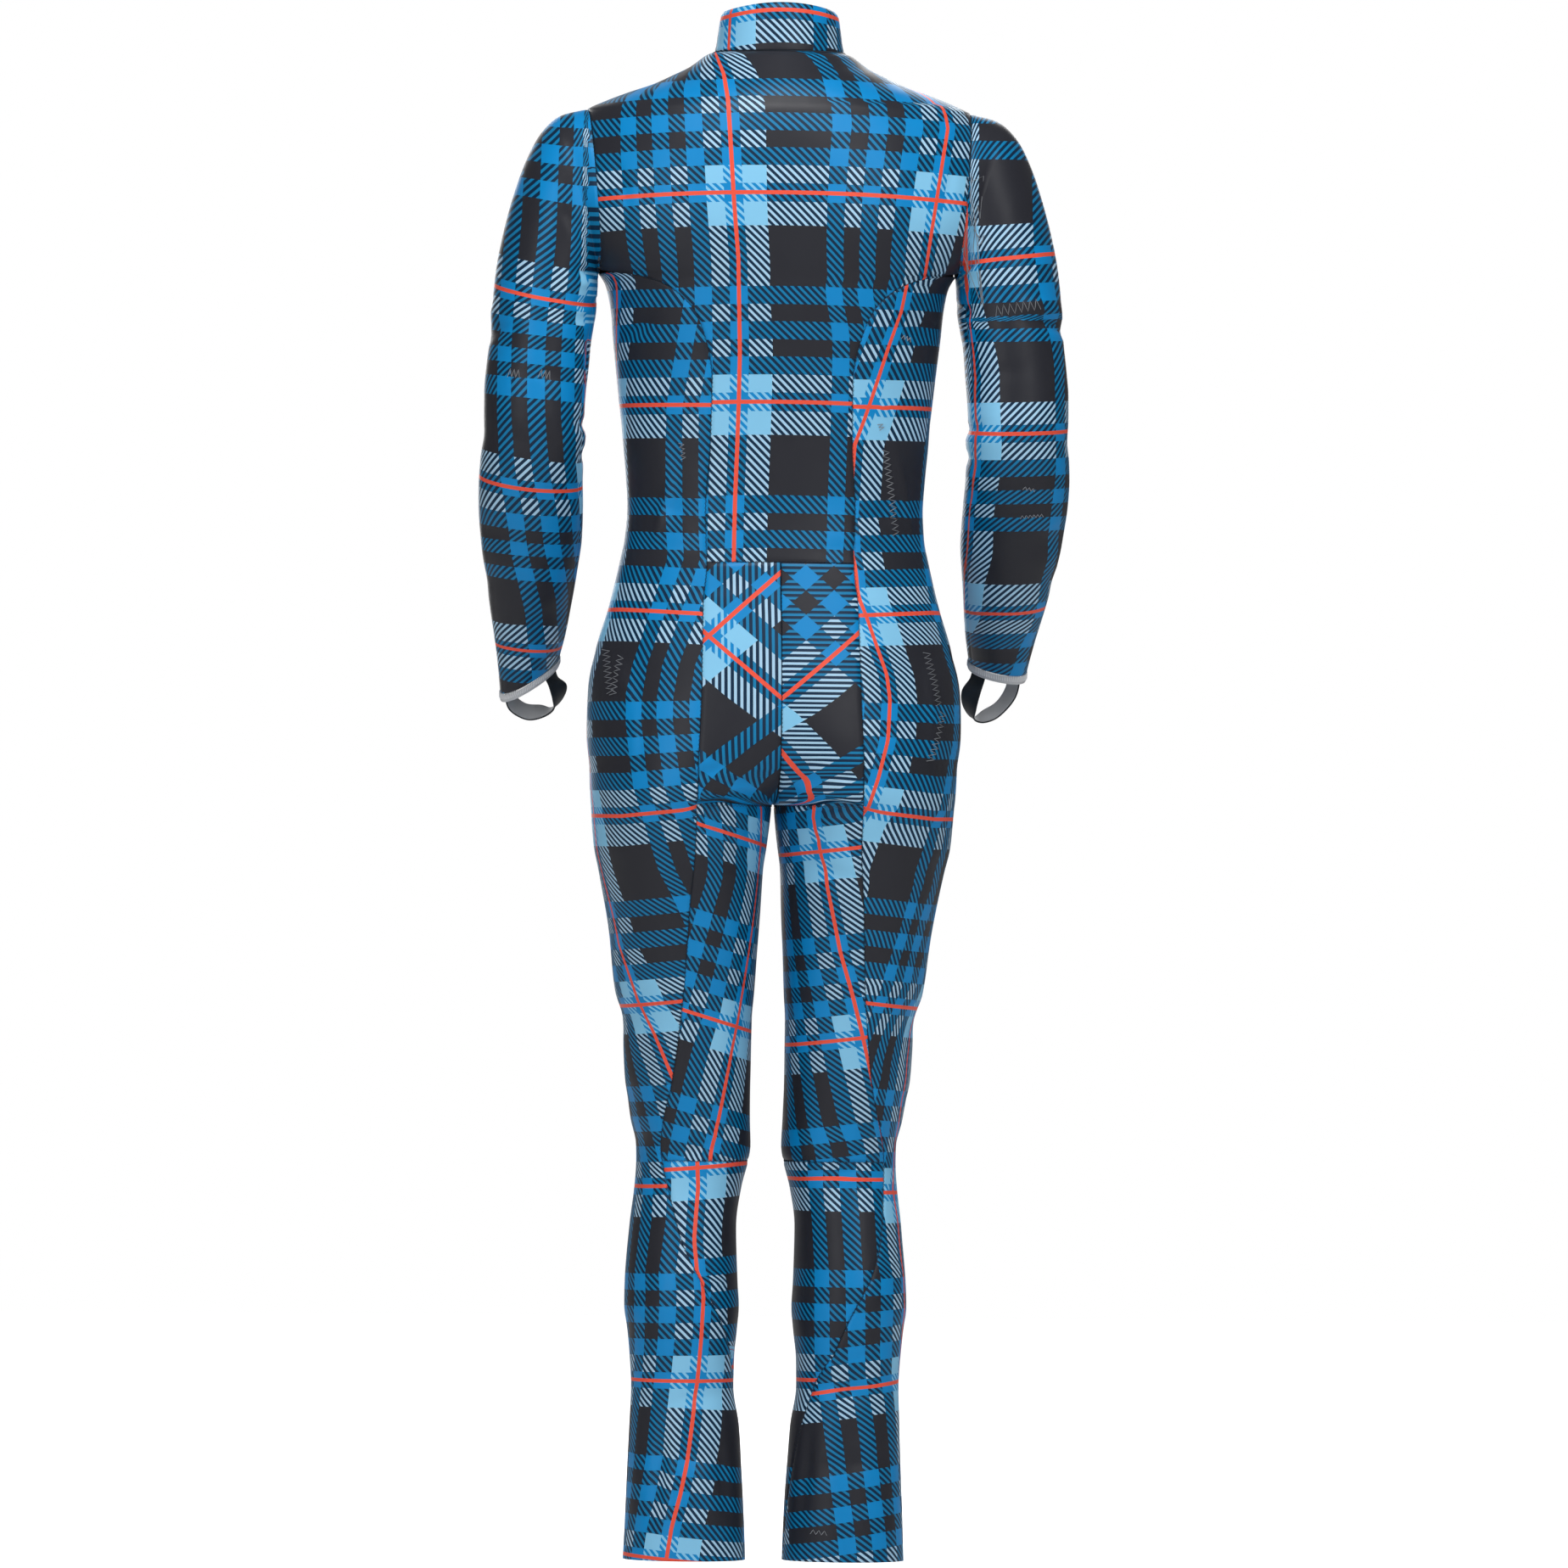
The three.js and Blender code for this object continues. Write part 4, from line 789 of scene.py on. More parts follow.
checkCloth = printedCloth("checkCloth")
liningCloth = plainCloth("liningCloth", (66, 70, 78), 0.75)
zipCloth = plainCloth("zipCloth", (30, 30, 34), 0.6)
tapeCloth = plainCloth("tapeCloth", (184, 186, 190), 0.7)
loopCloth = plainCloth("loopCloth", (20, 27, 34), 0.55)
loopSilver = plainCloth("loopSilver", (188, 190, 193), 0.6)
seamThread = plainCloth("seamThread", (18, 34, 48), 0.7)
greyThread = plainCloth("greyThread", (128, 132, 138), 0.6)
whiteThread = plainCloth("whiteThread", (226, 228, 230), 0.6)
zipMetal = metal("zipMetal", (120, 122, 126), 0.34)
zipCoil = plainCloth("zipCoil", (44, 44, 48), 0.4)

print("materials ready")


# Cloth pieces

def finishPiece(name, bm, materials, body=suitBody, smooth=True):
    bm.normal_update()
    mesh = bpy.data.meshes.new(name)
    bm.to_mesh(mesh)
    bm.free()
    piece = bpy.data.objects.new(name, mesh)
    bpy.context.collection.objects.link(piece)
    for material in materials:
        mesh.materials.append(material)
    for face in mesh.polygons:
        face.use_smooth = smooth
    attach(piece, body)
    return piece


def addWall(piece, thickness, inside=1):
    wall = piece.modifiers.new("wall", "SOLIDIFY")
    wall.thickness = thickness * mm
    wall.offset = -1
    wall.use_even_offset = False
    wall.material_offset = inside


# A sheet from rows of points, with the print measure of each point, facing the way outside gives
def clothGrid(name, points, prints, outside, materials, ring=False):
    rows, columns = len(points), len(points[0])
    bm = bmesh.new()
    bmesh.ops.create_grid(bm, x_segments=columns - 1, y_segments=rows - 1, size=1)
    bm.verts.ensure_lookup_table()
    uv = bm.loops.layers.uv.new("printMap")
    for r in range(rows):
        for c in range(columns):
            bm.verts[r * columns + c].co = points[r][c] * mm
    for face in bm.faces:
        for loop in face.loops:
            r, c = divmod(loop.vert.index, columns)
            loop[uv].uv = (prints[r][c][0] * mm, prints[r][c][1] * mm)
    bm.normal_update()
    middle = bm.verts[(rows // 2) * columns + columns // 2]
    if middle.normal.dot(outside) < 0:
        bmesh.ops.reverse_faces(bm, faces=bm.faces)
    if ring:
        bmesh.ops.remove_doubles(bm, verts=bm.verts, dist=0.00002)
    area = sum(face.calc_area() for face in bm.faces)
    piece = finishPiece(name, bm, materials)
    declareCut(points)
    return piece


# The size each piece was cut to: the cloth is worn drawn out by a few hundredths each way
stretchWorn = 1.04


def declareCut(points):
    wide = max(rowMeasure(row)[-1] for row in points) * mm / stretchWorn
    long = max(rowMeasure(column)[-1] for column in zip(*points)) * mm / stretchWorn


# A body panel stops at the armhole seam
def keepToSeam(side, z, point):
    if cut["armpitZ"] <= z <= cut["shoulderTipZ"]:
        point.x = side * min(side * point.x, armholeX(point.z) - beyondSeam)
    return point


# One body panel: rows of ring angles between two edges, dipped beside its seams, which are told in
# the order first edge, last edge, top and bottom
def bodyPanel(name, heights, angles, seams, measure):
    def edgeDistance(*distances):
        return min(distance if isSeam else drape["noSeam"] for distance, isSeam in zip(distances, seams))

    points, prints = [], []
    for z in heights:
        row = angles(z)
        flat = [bodySurface(half, z, angle) for half, angle in row]
        along = rowMeasure(flat)
        placed = []
        for s, (half, angle) in zip(along, row):
            edge = edgeDistance(s, along[-1] - s, heights[0] - z, z - heights[-1])
            placed.append(keepToSeam(half, z, bodyPoint(half, z, angle, edgeDip(edge))))
        points.append(placed)
        prints.append(measure(z, flat, along))
    middleZ = heights[len(heights) // 2]
    half, angle = angles(middleZ)[len(angles(middleZ)) // 2]
    return clothGrid(name, points, prints, bodyNormal(half, middleZ, angle), [checkCloth, liningCloth])


# Ring angles of a row, close together at the seams, where turned gives the angle at each share of it
def spreadRow(side, z, turned, count, seams=(True, True)):
    steps, shortest = 12, 0.5
    rough = [bodySurface(side, z, turned(i / steps)) for i in range(steps + 1)]
    length = max(rowMeasure(rough)[-1], shortest)
    return [(side, turned(share)) for share in rowShares(length, count, seams)]


def evenRow(side, z, start, end, count, seams=(True, True)):
    return spreadRow(side, z, lambda share: start + (end - start) * share, count, seams)


# The same for a piece that turns in between the legs near the crotch
def crotchRow(side, z, start, end, facing, count):
    swing = start - facing
    crowd = 1 if swing == 0 else clamp(0.7 * (end - facing) / swing, 1, 5)

    def turned(share):
        return facing + (end - facing) * share + swing * (1 - share) ** crowd

    return spreadRow(side, z, turned, count)


@lru_cache(maxsize=None)
def backRow(z):
    left, right = (evenRow(side, z, 0.0, backEdge(side, z), 44, (False, True)) for side in (-1, 1))
    return list(reversed(left[1:])) + right


# The second bright line of the back, which the stretched cloth draws apart from the first, and how
# the print is drawn out there and sags towards the sides
farLine = table(["z", "x"], [[0, 160], [-46, 154], [-122, 143], [-198, 132]])
backPrint = {"farFrom": -48.0, "least": 0.9, "most": 1.15, "shoulder": 0.93, "easeRun": 60.0,
             "sag": 6.5, "sagAt": 165.0}


def makeBack():
    def measure(z, flat, along):
        start = startAt("back_panel", z, flat, along, 1)
        far = measureWhereSeen(flat, along, valueAt(farLine, "z", z, "x"))
        stretch = backPrint["shoulder"]
        if z < backPrint["farFrom"]:
            stretch = clamp(settLength / (far + start), backPrint["least"], backPrint["most"])
        stretch += (1 - stretch) * smoothStep((cut["armpitZ"] - z) / backPrint["easeRun"])
        return [(start + s if start + s < 0 else (start + s) * stretch,
                 levelAt("back_panel", z) - backPrint["sag"] * (point.x / backPrint["sagAt"]) ** 2)
                for s, point in zip(along, flat)]

    heights = heightsBetween(0, cut["waistSeamZ"])
    piece = bodyPanel("backPanel", heights, backRow, (True,) * 4, measure)
    addWall(piece, cut["wall"])
    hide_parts("back_panel")


# Where the tilt of a side's print turns, and where it ends
tiltMiddle = 70
tiltEnd = 140


def makeSide(side):
    name = sideName(side)

    @lru_cache(maxsize=None)
    def angles(z):
        return evenRow(side, z, backEdge(side, z), frontEdge(z), 46)

    def measure(z, flat, along):
        crowd = valueAt(sideCrowd, "z", z, name)
        along = [crowd * min(s, crowdedWidth) + max(s - crowdedWidth, 0) for s in along]
        start = startAt(f"side_panel_{name}", z, flat, along, side)
        tilt = valueAt(sideTilt, "z", z, name)
        level = levelAt(f"side_panel_{name}", z)
        return [(start + side * s, level + tilt * (min(abs(p.x), tiltEnd) - tiltMiddle)
                 + foldedIn(side, p, z)) for s, p in zip(along, flat)]

    heights = heightsBetween(cut["armpitZ"] - 0.5, cut["hemZ"], (True, False))
    piece = bodyPanel(f"sidePanel{name.title()}", heights, angles, (True, True, False, False), measure)
    addWall(piece, cut["wall"])
    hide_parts(f"side_panel_{name}", f"leg_side_{name}")


# Seat: the check lies on the bias, turned one way on the left and the other on the right. The right
# piece is drawn askew below askewFrom, where it turns under.
seatPrint = {"drawnIn": 0.86, "leftAt": 467, "rightAt": 626, "downAt": 578, "askewFrom": -592,
             "askewAcross": 0.3, "askewDown": 0.25}


def makeSeat(side):
    name = sideName(side)

    @lru_cache(maxsize=None)
    def angles(z):
        return crotchRow(side, z, backMiddle(z), backEdge(side, z), -math.pi / 2, 34)

    def measure(z, flat, along):
        start = next((i for i, p in enumerate(flat) if side * p.x > 0.5), 0)
        askew = max(0.0, seatPrint["askewFrom"] - z) if side > 0 else 0.0
        row = []
        for s, point in zip(along, flat):
            across = side * (s - along[start]) * seatPrint["drawnIn"]
            down = levelAt("seat", z) + foldedIn(side, point, z)
            if side < 0:
                u, v = across + down - seatPrint["leftAt"], down - across - seatPrint["downAt"]
            else:
                u = across - down + askew * seatPrint["askewAcross"] + seatPrint["rightAt"]
                v = across + down + askew * seatPrint["askewDown"] - seatPrint["downAt"]
            row.append((u / math.sqrt(2), v / math.sqrt(2)))
        return row

    heights = heightsBetween(cut["waistSeamZ"], cut["crotchZ"])
    piece = bodyPanel(f"seat{name.title()}", heights, angles, (True,) * 4, measure)
    addWall(piece, cut["wall"])
    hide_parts(f"seat_{name}")


# Back of a thigh or inner calf. Its print tilts from legMiddle outwards.
legMiddle = 35


def makeLegPiece(side, panel, title, top, bottom, facing, tilt, seams, count):
    name = sideName(side)
    key = f"{panel}_{name}"

    @lru_cache(maxsize=None)
    def angles(z):
        return crotchRow(side, z, backMiddle(z), backEdge(side, z), facing, count)

    def measure(z, flat, along):
        start = startAt(key, z, flat, along, side)
        return [(start + side * s, levelAt(key, z - tilt * (abs(p.x) - legMiddle)) + foldedIn(side, p, z))
                for s, p in zip(along, flat)]

    heights = heightsBetween(top, bottom, seams[2:])
    piece = bodyPanel(f"{title}{name.title()}", heights, angles, seams, measure)
    addWall(piece, cut["wall"])
    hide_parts(key)


# Front of one half: the chest and belly, the thigh and the shin, cut at the heights of the back, and
# the print's measure at the centre front and down the inside of the leg
frontCuts = [
    # node, piece, top, bottom, points across
    ("front", "front", 0.0, cut["crotchZ"], 34),
    ("thigh_front", "thighFront", cut["crotchZ"], cut["kneeSeamZ"], 44),
    ("shin", "shin", cut["kneeSeamZ"], cut["hemZ"], 44),
]
frontStarts = table(["z", "start"], [[0, 20], [-675, 20], [-760, -10], [-1350, -10]])


def makeFronts(side):
    name = sideName(side)

    def measure(z, flat, along):
        start = valueAt(frontStarts, "z", z, "start")
        return [(side * (start + s), levelAt("front", point.z)) for s, point in zip(along, flat)]

    for node, title, top, bottom, count in frontCuts:
        @lru_cache(maxsize=None)
        def angles(z, count=count):
            return crotchRow(side, z, frontMiddle(z), frontEdge(z), 1.5 * math.pi, count)

        seams = (True, True, True, bottom > cut["hemZ"])
        heights = heightsBetween(top, bottom, seams[2:])
        piece = bodyPanel(f"{title}{name.title()}", heights, angles, seams, measure)
        addWall(piece, cut["wall"])
        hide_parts(f"{node}_{name}")


makeBack()
print("back ready")
for side in (-1, 1):
    makeSide(side)
    makeSeat(side)
    makeLegPiece(side, "thigh_back", "thighBack", cut["crotchZ"], cut["kneeSeamZ"],
                 -math.pi / 2, 0.3 if side < 0 else 0.12, (True,) * 4, 38)
    makeLegPiece(side, "calf_inner", "calfInner", cut["kneeSeamZ"], cut["hemZ"],
                 0.0, -0.08 if side < 0 else 0.0, (True, True, True, False), 36)
    makeFronts(side)
print("legs, sides and fronts ready")


# Sleeves: rings seen from behind, from the armhole to the end of the cuff tape
sleeveRings = table(
    ["ring", "outerX", "outerZ", "innerX", "innerZ", "midY", "back", "front", "tilt", "reach"],
    [
        [0, 171.6, -53, 160.5, -200, 2, 53, 55, 0, 0],
        [1, 196, -59.5, 160.9, -203, 1.5, 55, 56, 0, 0],
        [2, 213, -75, 161, -206, 1, 56, 56, 0, 0],
        [3, 227, -101, 161.1, -210, 0, 56, 55, 0, 0],
        [4, 238, -133, 161.3, -216, -1, 55, 54, 0, 0],
        [5, 247, -168, 161.6, -224, -2, 54, 52, 0, 0],
        [6, 252.5, -200, 162.3, -235, -3, 52, 50, 0, 0],
        [7, 255.5, -230, 164.5, -248, -4, 50.5, 48, 0, 0],
        [8, 257, -256, 167, -263, -5, 49, 47, 0, 0],
        [9, 260, -282, 168.8, -284, -6, 48, 46, 0, 0],
        [10, 262, -306, 171, -306, -7, 47, 46, 0, 0],
        [11, 262, -326, 172, -325, -7, 47, 46, 1, 0],
        [12, 261.5, -344, 170.2, -342, -4.5, 46.5, 46, 4, 0],
        [13, 264, -364, 171.6, -361, 2, 46, 45.5, 7, 0],
        [14, 265, -386, 172, -383, 12, 45, 45, 10, 0],
        [15, 264.5, -410, 170.8, -407, 25, 44, 44, 12, 0],
        [16, 261.5, -438, 170.4, -434, 42, 42.5, 42.5, 14, 0],
        [17, 256, -468, 173.3, -464, 61, 40, 40, 15, 0.1],
        [18, 250, -498, 177, -494, 82, 37, 37, 15, 0.3],
        [19, 243, -530, 180.8, -521, 104, 33, 33.5, 15, 0.6],
        [20, 238, -560, 185, -542, 122, 30, 31, 15, 1],
        [21, 237.3, -567, 185.3, -549, 126, 30, 31, 15, 1],
    ])
sleeve = {
    "cuffReach": {"left": -15, "right": 8},     # outer end of each cuff against the table
    "cuffRing": 20,
    "lastRing": 21,
    "ringLength": 25,
    "rounding": 0.95,
    "underSeams": (225.0, 292.5),               # ring degrees of the two seams inside the arm
    "perRing": 5,                               # rows of points, and the finer ones at the ends
    "fineStart": (0.03, 0.08),
    "fineEnd": (0.02, 0.06, 0.13),
    "hiddenLine": {"above": 8, "reach": 68},    # the left armhole seam lies on a bright line
}

# Creases round the sleeves: side (0 both), ring, ring degrees, half widths in rings and degrees, how
# far the crease climbs in rings, and its depth (a ridge where it is negative)
sleeveCreases = table(
    ["side", "ring", "degrees", "ringReach", "degreeReach", "climb", "depth"],
    [
        [0, 11.6, -80, 0.55, 60, 0.2, 3.2], [0, 13.0, -95, 0.5, 55, -0.2, 2.2],
        [0, 15.6, 40, 0.6, 60, 0.3, 1.8], [0, 18.2, -10, 0.6, 70, -0.3, 2.2],
        [0, 12.3, 10, 0.5, 46, 0.3, 1.2], [0, 14.3, -40, 0.4, 42, 0.2, 1.1],
        [0, 17.0, 70, 0.5, 50, -0.3, 1.2], [0, 19.0, 30, 0.4, 60, 0.3, 1.3],
        [0, 8.0, 150, 0.6, 60, 0.3, 1.4], [0, 13.6, 170, 0.5, 70, -0.2, 1.6],
        [0, 16.4, 190, 0.5, 50, 0.2, 1.4], [0, 10.6, 200, 0.5, 60, 0.3, 1.8],
        [1, 7.35, 52, 0.42, 62, -0.5, 5.2], [1, 6.75, 40, 0.4, 60, -0.4, -1.4],
        [1, 9.2, -30, 0.45, 50, 0.4, 1.8], [1, 2.6, -42, 0.5, 34, -1.2, 3.2],
        [1, 3.5, -34, 0.45, 30, -0.9, -1.5], [1, 5.6, -70, 0.6, 40, -0.8, 2.4],
        [-1, 7.9, 70, 0.4, 44, -0.3, 2.6], [-1, 7.2, 84, 0.35, 40, -0.2, -1.2],
        [-1, 3.4, -50, 0.5, 40, -1.6, 3.2], [-1, 4.6, -44, 0.5, 42, -1.3, -1.8],
        [-1, 5.6, -58, 0.5, 44, -1.0, 3.0], [-1, 6.8, -40, 0.5, 44, -0.5, 1.8],
        [-1, 9.4, -10, 0.4, 50, 0.3, 1.3], [-1, 2.2, -20, 0.5, 36, -1.0, 1.6],
    ])


@lru_cache(maxsize=None)
def ringAt(ring):
    names = ("outerX", "outerZ", "innerX", "innerZ", "midY", "back", "front", "tilt", "reach")
    return {name: valueAt(sleeveRings, "ring", ring, name) for name in names}


def sleeveRaw(side, ring, angle):
    at = ringAt(ring)
    sin, cos = math.sin(angle), math.cos(angle)
    outerZ = at["outerZ"] + sleeve["cuffReach"][sideName(side)] * at["reach"]
    lateral = signedPower(sin, sleeve["rounding"])
    x = (at["outerX"] * (1 + lateral) + at["innerX"] * (1 - lateral)) / 2
    z = (outerZ * (1 + lateral) + at["innerZ"] * (1 - lateral)) / 2
    depth = -signedPower(cos, sleeve["rounding"]) * (at["back"] if cos > 0 else at["front"])
    lean = math.radians(at["tilt"])
    return Vector((side * x, at["midY"] + depth * math.cos(lean), z + depth * math.sin(lean)))


def armholePoint(side, angle):
    tip, pit = cut["shoulderTipZ"], cut["armpitZ"]
    z = round((tip + pit) / 2 + (tip - pit) / 2 * math.sin(angle), 3)
    onBody = angleAt(z, armholeX(z)) if math.cos(angle) > 0 else frontArmholeAngle(z)
    point = bodySurface(side, z, onBody)
    point.x = side * (armholeX(point.z) + beyondSeam)
    return point


def sleeveSurface(side, ring, angle):
    point = sleeveRaw(side, ring, angle)
    if ring < 1:
        point += (armholePoint(side, angle) - sleeveRaw(side, 0, angle)) * (1 - ring)
    return point


def sleeveDent(side, ring, angle):
    depth = 0.0
    for crease in sleeveCreases:
        if crease["side"] == -side:
            continue
        turn = (math.degrees(angle) - crease["degrees"] + 540) % 360 - 180
        if abs(turn) < crease["degreeReach"]:
            share = turn / crease["degreeReach"]
            away = (ring - crease["ring"] + crease["climb"] * share) / crease["ringReach"]
            depth += crease["depth"] * softPatch(abs(away)) * softPatch(abs(share))
    return depth


# Point of the creased sleeve, and the way out from it
def sleevePoint(side, ring, angle, dip=0.0):
    step = 0.04
    point = sleeveSurface(side, ring, angle)
    down = sleeveSurface(side, round(min(ring + step, sleeve["lastRing"]), 4), angle)
    up = sleeveSurface(side, round(max(ring - step, 0), 4), angle)
    across = sleeveSurface(side, ring, angle + step) - sleeveSurface(side, ring, angle - step)
    normal = (side * across.cross(up - down)).normalized()
    placed = point + normal * (clothWobble(point) - sleeveDent(side, ring, angle) - dip)
    placed.x = side * max(side * placed.x, armholeX(placed.z) + beyondSeam)
    return placed, normal


# Print of the sleeves: the edge of one band with its measure, by ring and place seen from behind, and
# the heights of some levels on the outer side, in the middle and on the inner side
sleevePrint = {
    "left": {
        "measure": -71.5,
        "edge": [[0, -211], [4, -214], [6, -219], [9, -223], [10.5, -222.7], [13, -219], [15, -210.5],
                 [16, -207], [17, -200], [18, -195], [19, -194.5], [20, -197]],
        "levels": [[177, -38, -46, -50], [82.9, -131, -141, -149], [0, -212, -226, -228],
                   [-40, -252, -258, -260], [-87, -292, -297, -300], [-102.6, -309, -314.5, -317],
                   [-155.8, -358, -368.5, -369], [-185.5, -382, -395.5, -390],
                   [-225.5, -424, -432, -428], [-288, -470, -476, -474], [-371, -531, -538.5, -532],
                   [-430, -575, -580, -570]]},
    "right": {
        "measure": 82.9,
        "edge": [[0, 226], [4, 228], [6, 234], [7.5, 243], [9, 249], [11, 250.5], [13, 251.5],
                 [15, 247], [16, 246], [17, 239.5], [18, 235], [19, 222.5], [20, 212]],
        "levels": [[145, -30, -34, -36], [82.9, -95, -97, -101], [29.7, -150, -154, -158],
                   [0, -178, -184, -190], [-40, -219, -223, -224], [-55.5, -231, -236, -237.5],
                   [-71.5, -236, -238.5, -239.5], [-87, -244, -246.5, -247],
                   [-102.6, -256, -258, -258], [-155.8, -309, -312, -312],
                   [-185.5, -336, -340.5, -338.5], [-225.5, -374, -378.5, -378],
                   [-288, -424, -427, -425], [-341.3, -468, -474, -470], [-371, -492, -501, -497],
                   [-395.4, -514, -519, -515], [-442.5, -552, -558.5, -550]]},
}


# Level of the print on a sleeve: its lines are hoops that sag or lean as the rows say
def sleeveLevel(rows, z, angle):
    sin, cos = math.sin(angle), math.cos(angle)
    places = [(outer * (1 + sin) + inner * (1 - sin)) / 2 + (middle - (outer + inner) / 2) * cos
              for _, outer, middle, inner in rows]
    i = rowBefore([[place] for place in places], z)
    share = (z - places[i]) / (places[i + 1] - places[i])
    return rows[i][0] + share * (rows[i + 1][0] - rows[i][0])


# Above the elbow the bands run straight down, across the rings; they are read off one full ring
straightRing = 10.0


def sleeveMeasures(side, rings, anglesOf):
    chart = sleevePrint[sideName(side)]
    edges = table(["ring", "x"], chart["edge"])
    half = [math.radians(a) for a in range(-90, 91, 3)]

    @lru_cache(maxsize=None)
    def charted(ring):
        points = [sleeveSurface(side, ring, a) for a in half]
        return rowMeasure(points), [side * (p.x - viewSlant * p.y) for p in points]

    # Arc from the inner side of the sleeve to the place seen on its back
    def arcAt(ring, seenX):
        along, seen = charted(ring)
        if seenX <= seen[0]:
            return seenX - seen[0]
        for i in range(len(seen) - 1):
            if seen[i] <= seenX < seen[i + 1]:
                return along[i] + (along[i + 1] - along[i]) * (seenX - seen[i]) / (seen[i + 1] - seen[i])
        return along[-1] + seenX - max(seen)

    rows = []
    for ring in rings:
        based = max(ring, straightRing)
        edgeArc = arcAt(based, side * valueAt(edges, "ring", ring, "x"))
        quarter = sleeveSurface(side, ring, math.pi / 2)
        outerArc = arcAt(based, side * (quarter.x - viewSlant * quarter.y))
        row = []
        for angle in anglesOf(ring):
            point = sleeveSurface(side, ring, angle)
            if abs(angle) <= math.pi / 2:
                arc = arcAt(based, side * (point.x - viewSlant * point.y))
                if side < 0 and ring < sleeve["hiddenLine"]["above"]:
                    arc = max(arc, edgeArc - sleeve["hiddenLine"]["reach"])
            else:
                start, steps = math.copysign(math.pi / 2, angle), 12
                turns = [start + (angle - start) * i / steps for i in range(steps + 1)]
                length = rowMeasure([sleeveSurface(side, ring, a) for a in turns])[-1]
                arc = outerArc + length if angle > 0 else -length
            row.append((chart["measure"] + side * (arc - edgeArc),
                        sleeveLevel(chart["levels"], point.z, angle)))
        rows.append(row)
    return rows


def makeSleeve(side):
    name = sideName(side)
    last = sleeve["cuffRing"]
    rings = [i / sleeve["perRing"] for i in range(last * sleeve["perRing"] + 1)]
    rings += sleeve["fineStart"]
    rings += [last - step for step in sleeve["fineEnd"]]
    rings = [round(ring, 4) for ring in sorted(rings)]
    front, back = (math.radians(a) for a in sleeve["underSeams"])
    turn = 2 * math.pi
    for title, node, start, end, count in (("sleeveOuter", "sleeve_outer", back, front + turn, 62),
                                           ("sleeveUnder", "sleeve_under", front, back, 18)):
        def anglesOf(ring, start=start, end=end, count=count):
            length = 0.9 * (end - start) * ringAt(ring)["back"]
            return [start + (end - start) * share for share in rowShares(length, count)]

        points = []
        for ring in rings:
            fromEnd = min(last - ring, ring) * sleeve["ringLength"]
            angles = anglesOf(ring)
            along = rowMeasure([sleeveSurface(side, ring, a) for a in angles])
            dips = [edgeDip(min(s, along[-1] - s, fromEnd)) for s in along]
            points.append([sleevePoint(side, ring, angle, dip)[0] for angle, dip in zip(angles, dips)])
        shift = turn if start > math.pi else 0
        prints = sleeveMeasures(side, rings, lambda ring: [a - shift for a in anglesOf(ring)])
        middle = anglesOf(10)[count // 2]
        outside = sleevePoint(side, rings[len(rings) // 2], middle)[1]
        piece = clothGrid(f"{title}{name.title()}", points, prints, outside, [checkCloth, liningCloth])
        addWall(piece, cut["wall"])
        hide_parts(f"{node}_{name}")


# Binding round the end of each sleeve: its rings, and how far its rolled outside bulges at each
cuffRolls = [[20.02, 0.0], [20.1, 0.35], [20.3, 0.6], [20.5, 0.65], [20.7, 0.6], [20.9, 0.3], [20.98, -0.1]]
cuffSteps = 72


def makeCuff(side):
    name = sideName(side)
    angles = [math.radians(360 * i / cuffSteps) for i in range(cuffSteps + 1)]
    points = [[sleevePoint(side, ring, angle, -rise)[0] for angle in angles] for ring, rise in cuffRolls]
    prints = [[(i * 2.5, r * 1.2) for i in range(len(angles))] for r in range(len(cuffRolls))]
    outside = sleevePoint(side, 20.5, angles[cuffSteps // 2])[1]
    piece = clothGrid(f"cuffTape{name.title()}", points, prints, outside, [tapeCloth], True)
    addWall(piece, cut["wall"], 0)
    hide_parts(f"cuff_tape_{name}")


# Stirrup of the hand loop: middle of the band against the cuff, and the way of its width
strap = {
    "width": 18.0,
    "thickness": 1.4,
    "steps": 60,
    "across": (-0.5, -0.46, -0.4, -0.2, 0.0, 0.2, 0.4, 0.46, 0.5),
    "edgeRoll": 0.25,
    "stepPrint": 2.0,
}
strapStations = [
    # out, forward and up from the middle of the cuff, then the way of the width
    [-17, -12, 4, -0.6, 0.8, 0], [-18.6, -13, -3.5, -0.7, 0.7, 0], [-24, -14, -14, -0.93, 0.35, 0.1],
    [-25, -10, -27, -0.6, 0.8, 0.1], [-21, -3, -36, 0, 1, 0.1], [-11, 7, -35, 0, 0.75, 0.66],
    [2, 14, -29, -0.05, 0.55, 0.83], [14, 17.5, -15, -0.4, 0.6, 0.7],
    [16.6, 16.6, -5, -0.55, 0.72, 0.42], [15.6, 15.6, 4, -0.62, 0.78, 0.1],
]
strapHang = {"left": 1.0, "right": 1.2}


# Point at a share of a centripetal curve through the points given
def curvePoint(points, share, uniform=False):
    count = len(points) - 1
    at = share * count
    i = min(int(at), count - 1)
    t = at - i
    first = points[i - 1] if i > 0 else points[0] * 2 - points[1]
    last = points[i + 2] if i + 2 <= count else points[count] * 2 - points[count - 1]
    a, b = points[i], points[i + 1]
    gaps = [1.0, 1.0, 1.0] if uniform else [
        max((q - p).length, 1e-4) ** 0.5 for p, q in ((first, a), (a, b), (b, last))]
    leave = ((a - first) / gaps[0] - (b - first) / (gaps[0] + gaps[1]) + (b - a) / gaps[1]) * gaps[1]
    arrive = ((b - a) / gaps[1] - (last - a) / (gaps[1] + gaps[2]) + (last - b) / gaps[2]) * gaps[1]
    return (a * (2 * t**3 - 3 * t**2 + 1) + leave * (t**3 - 2 * t**2 + t)
            + b * (3 * t**2 - 2 * t**3) + arrive * (t**3 - t**2))


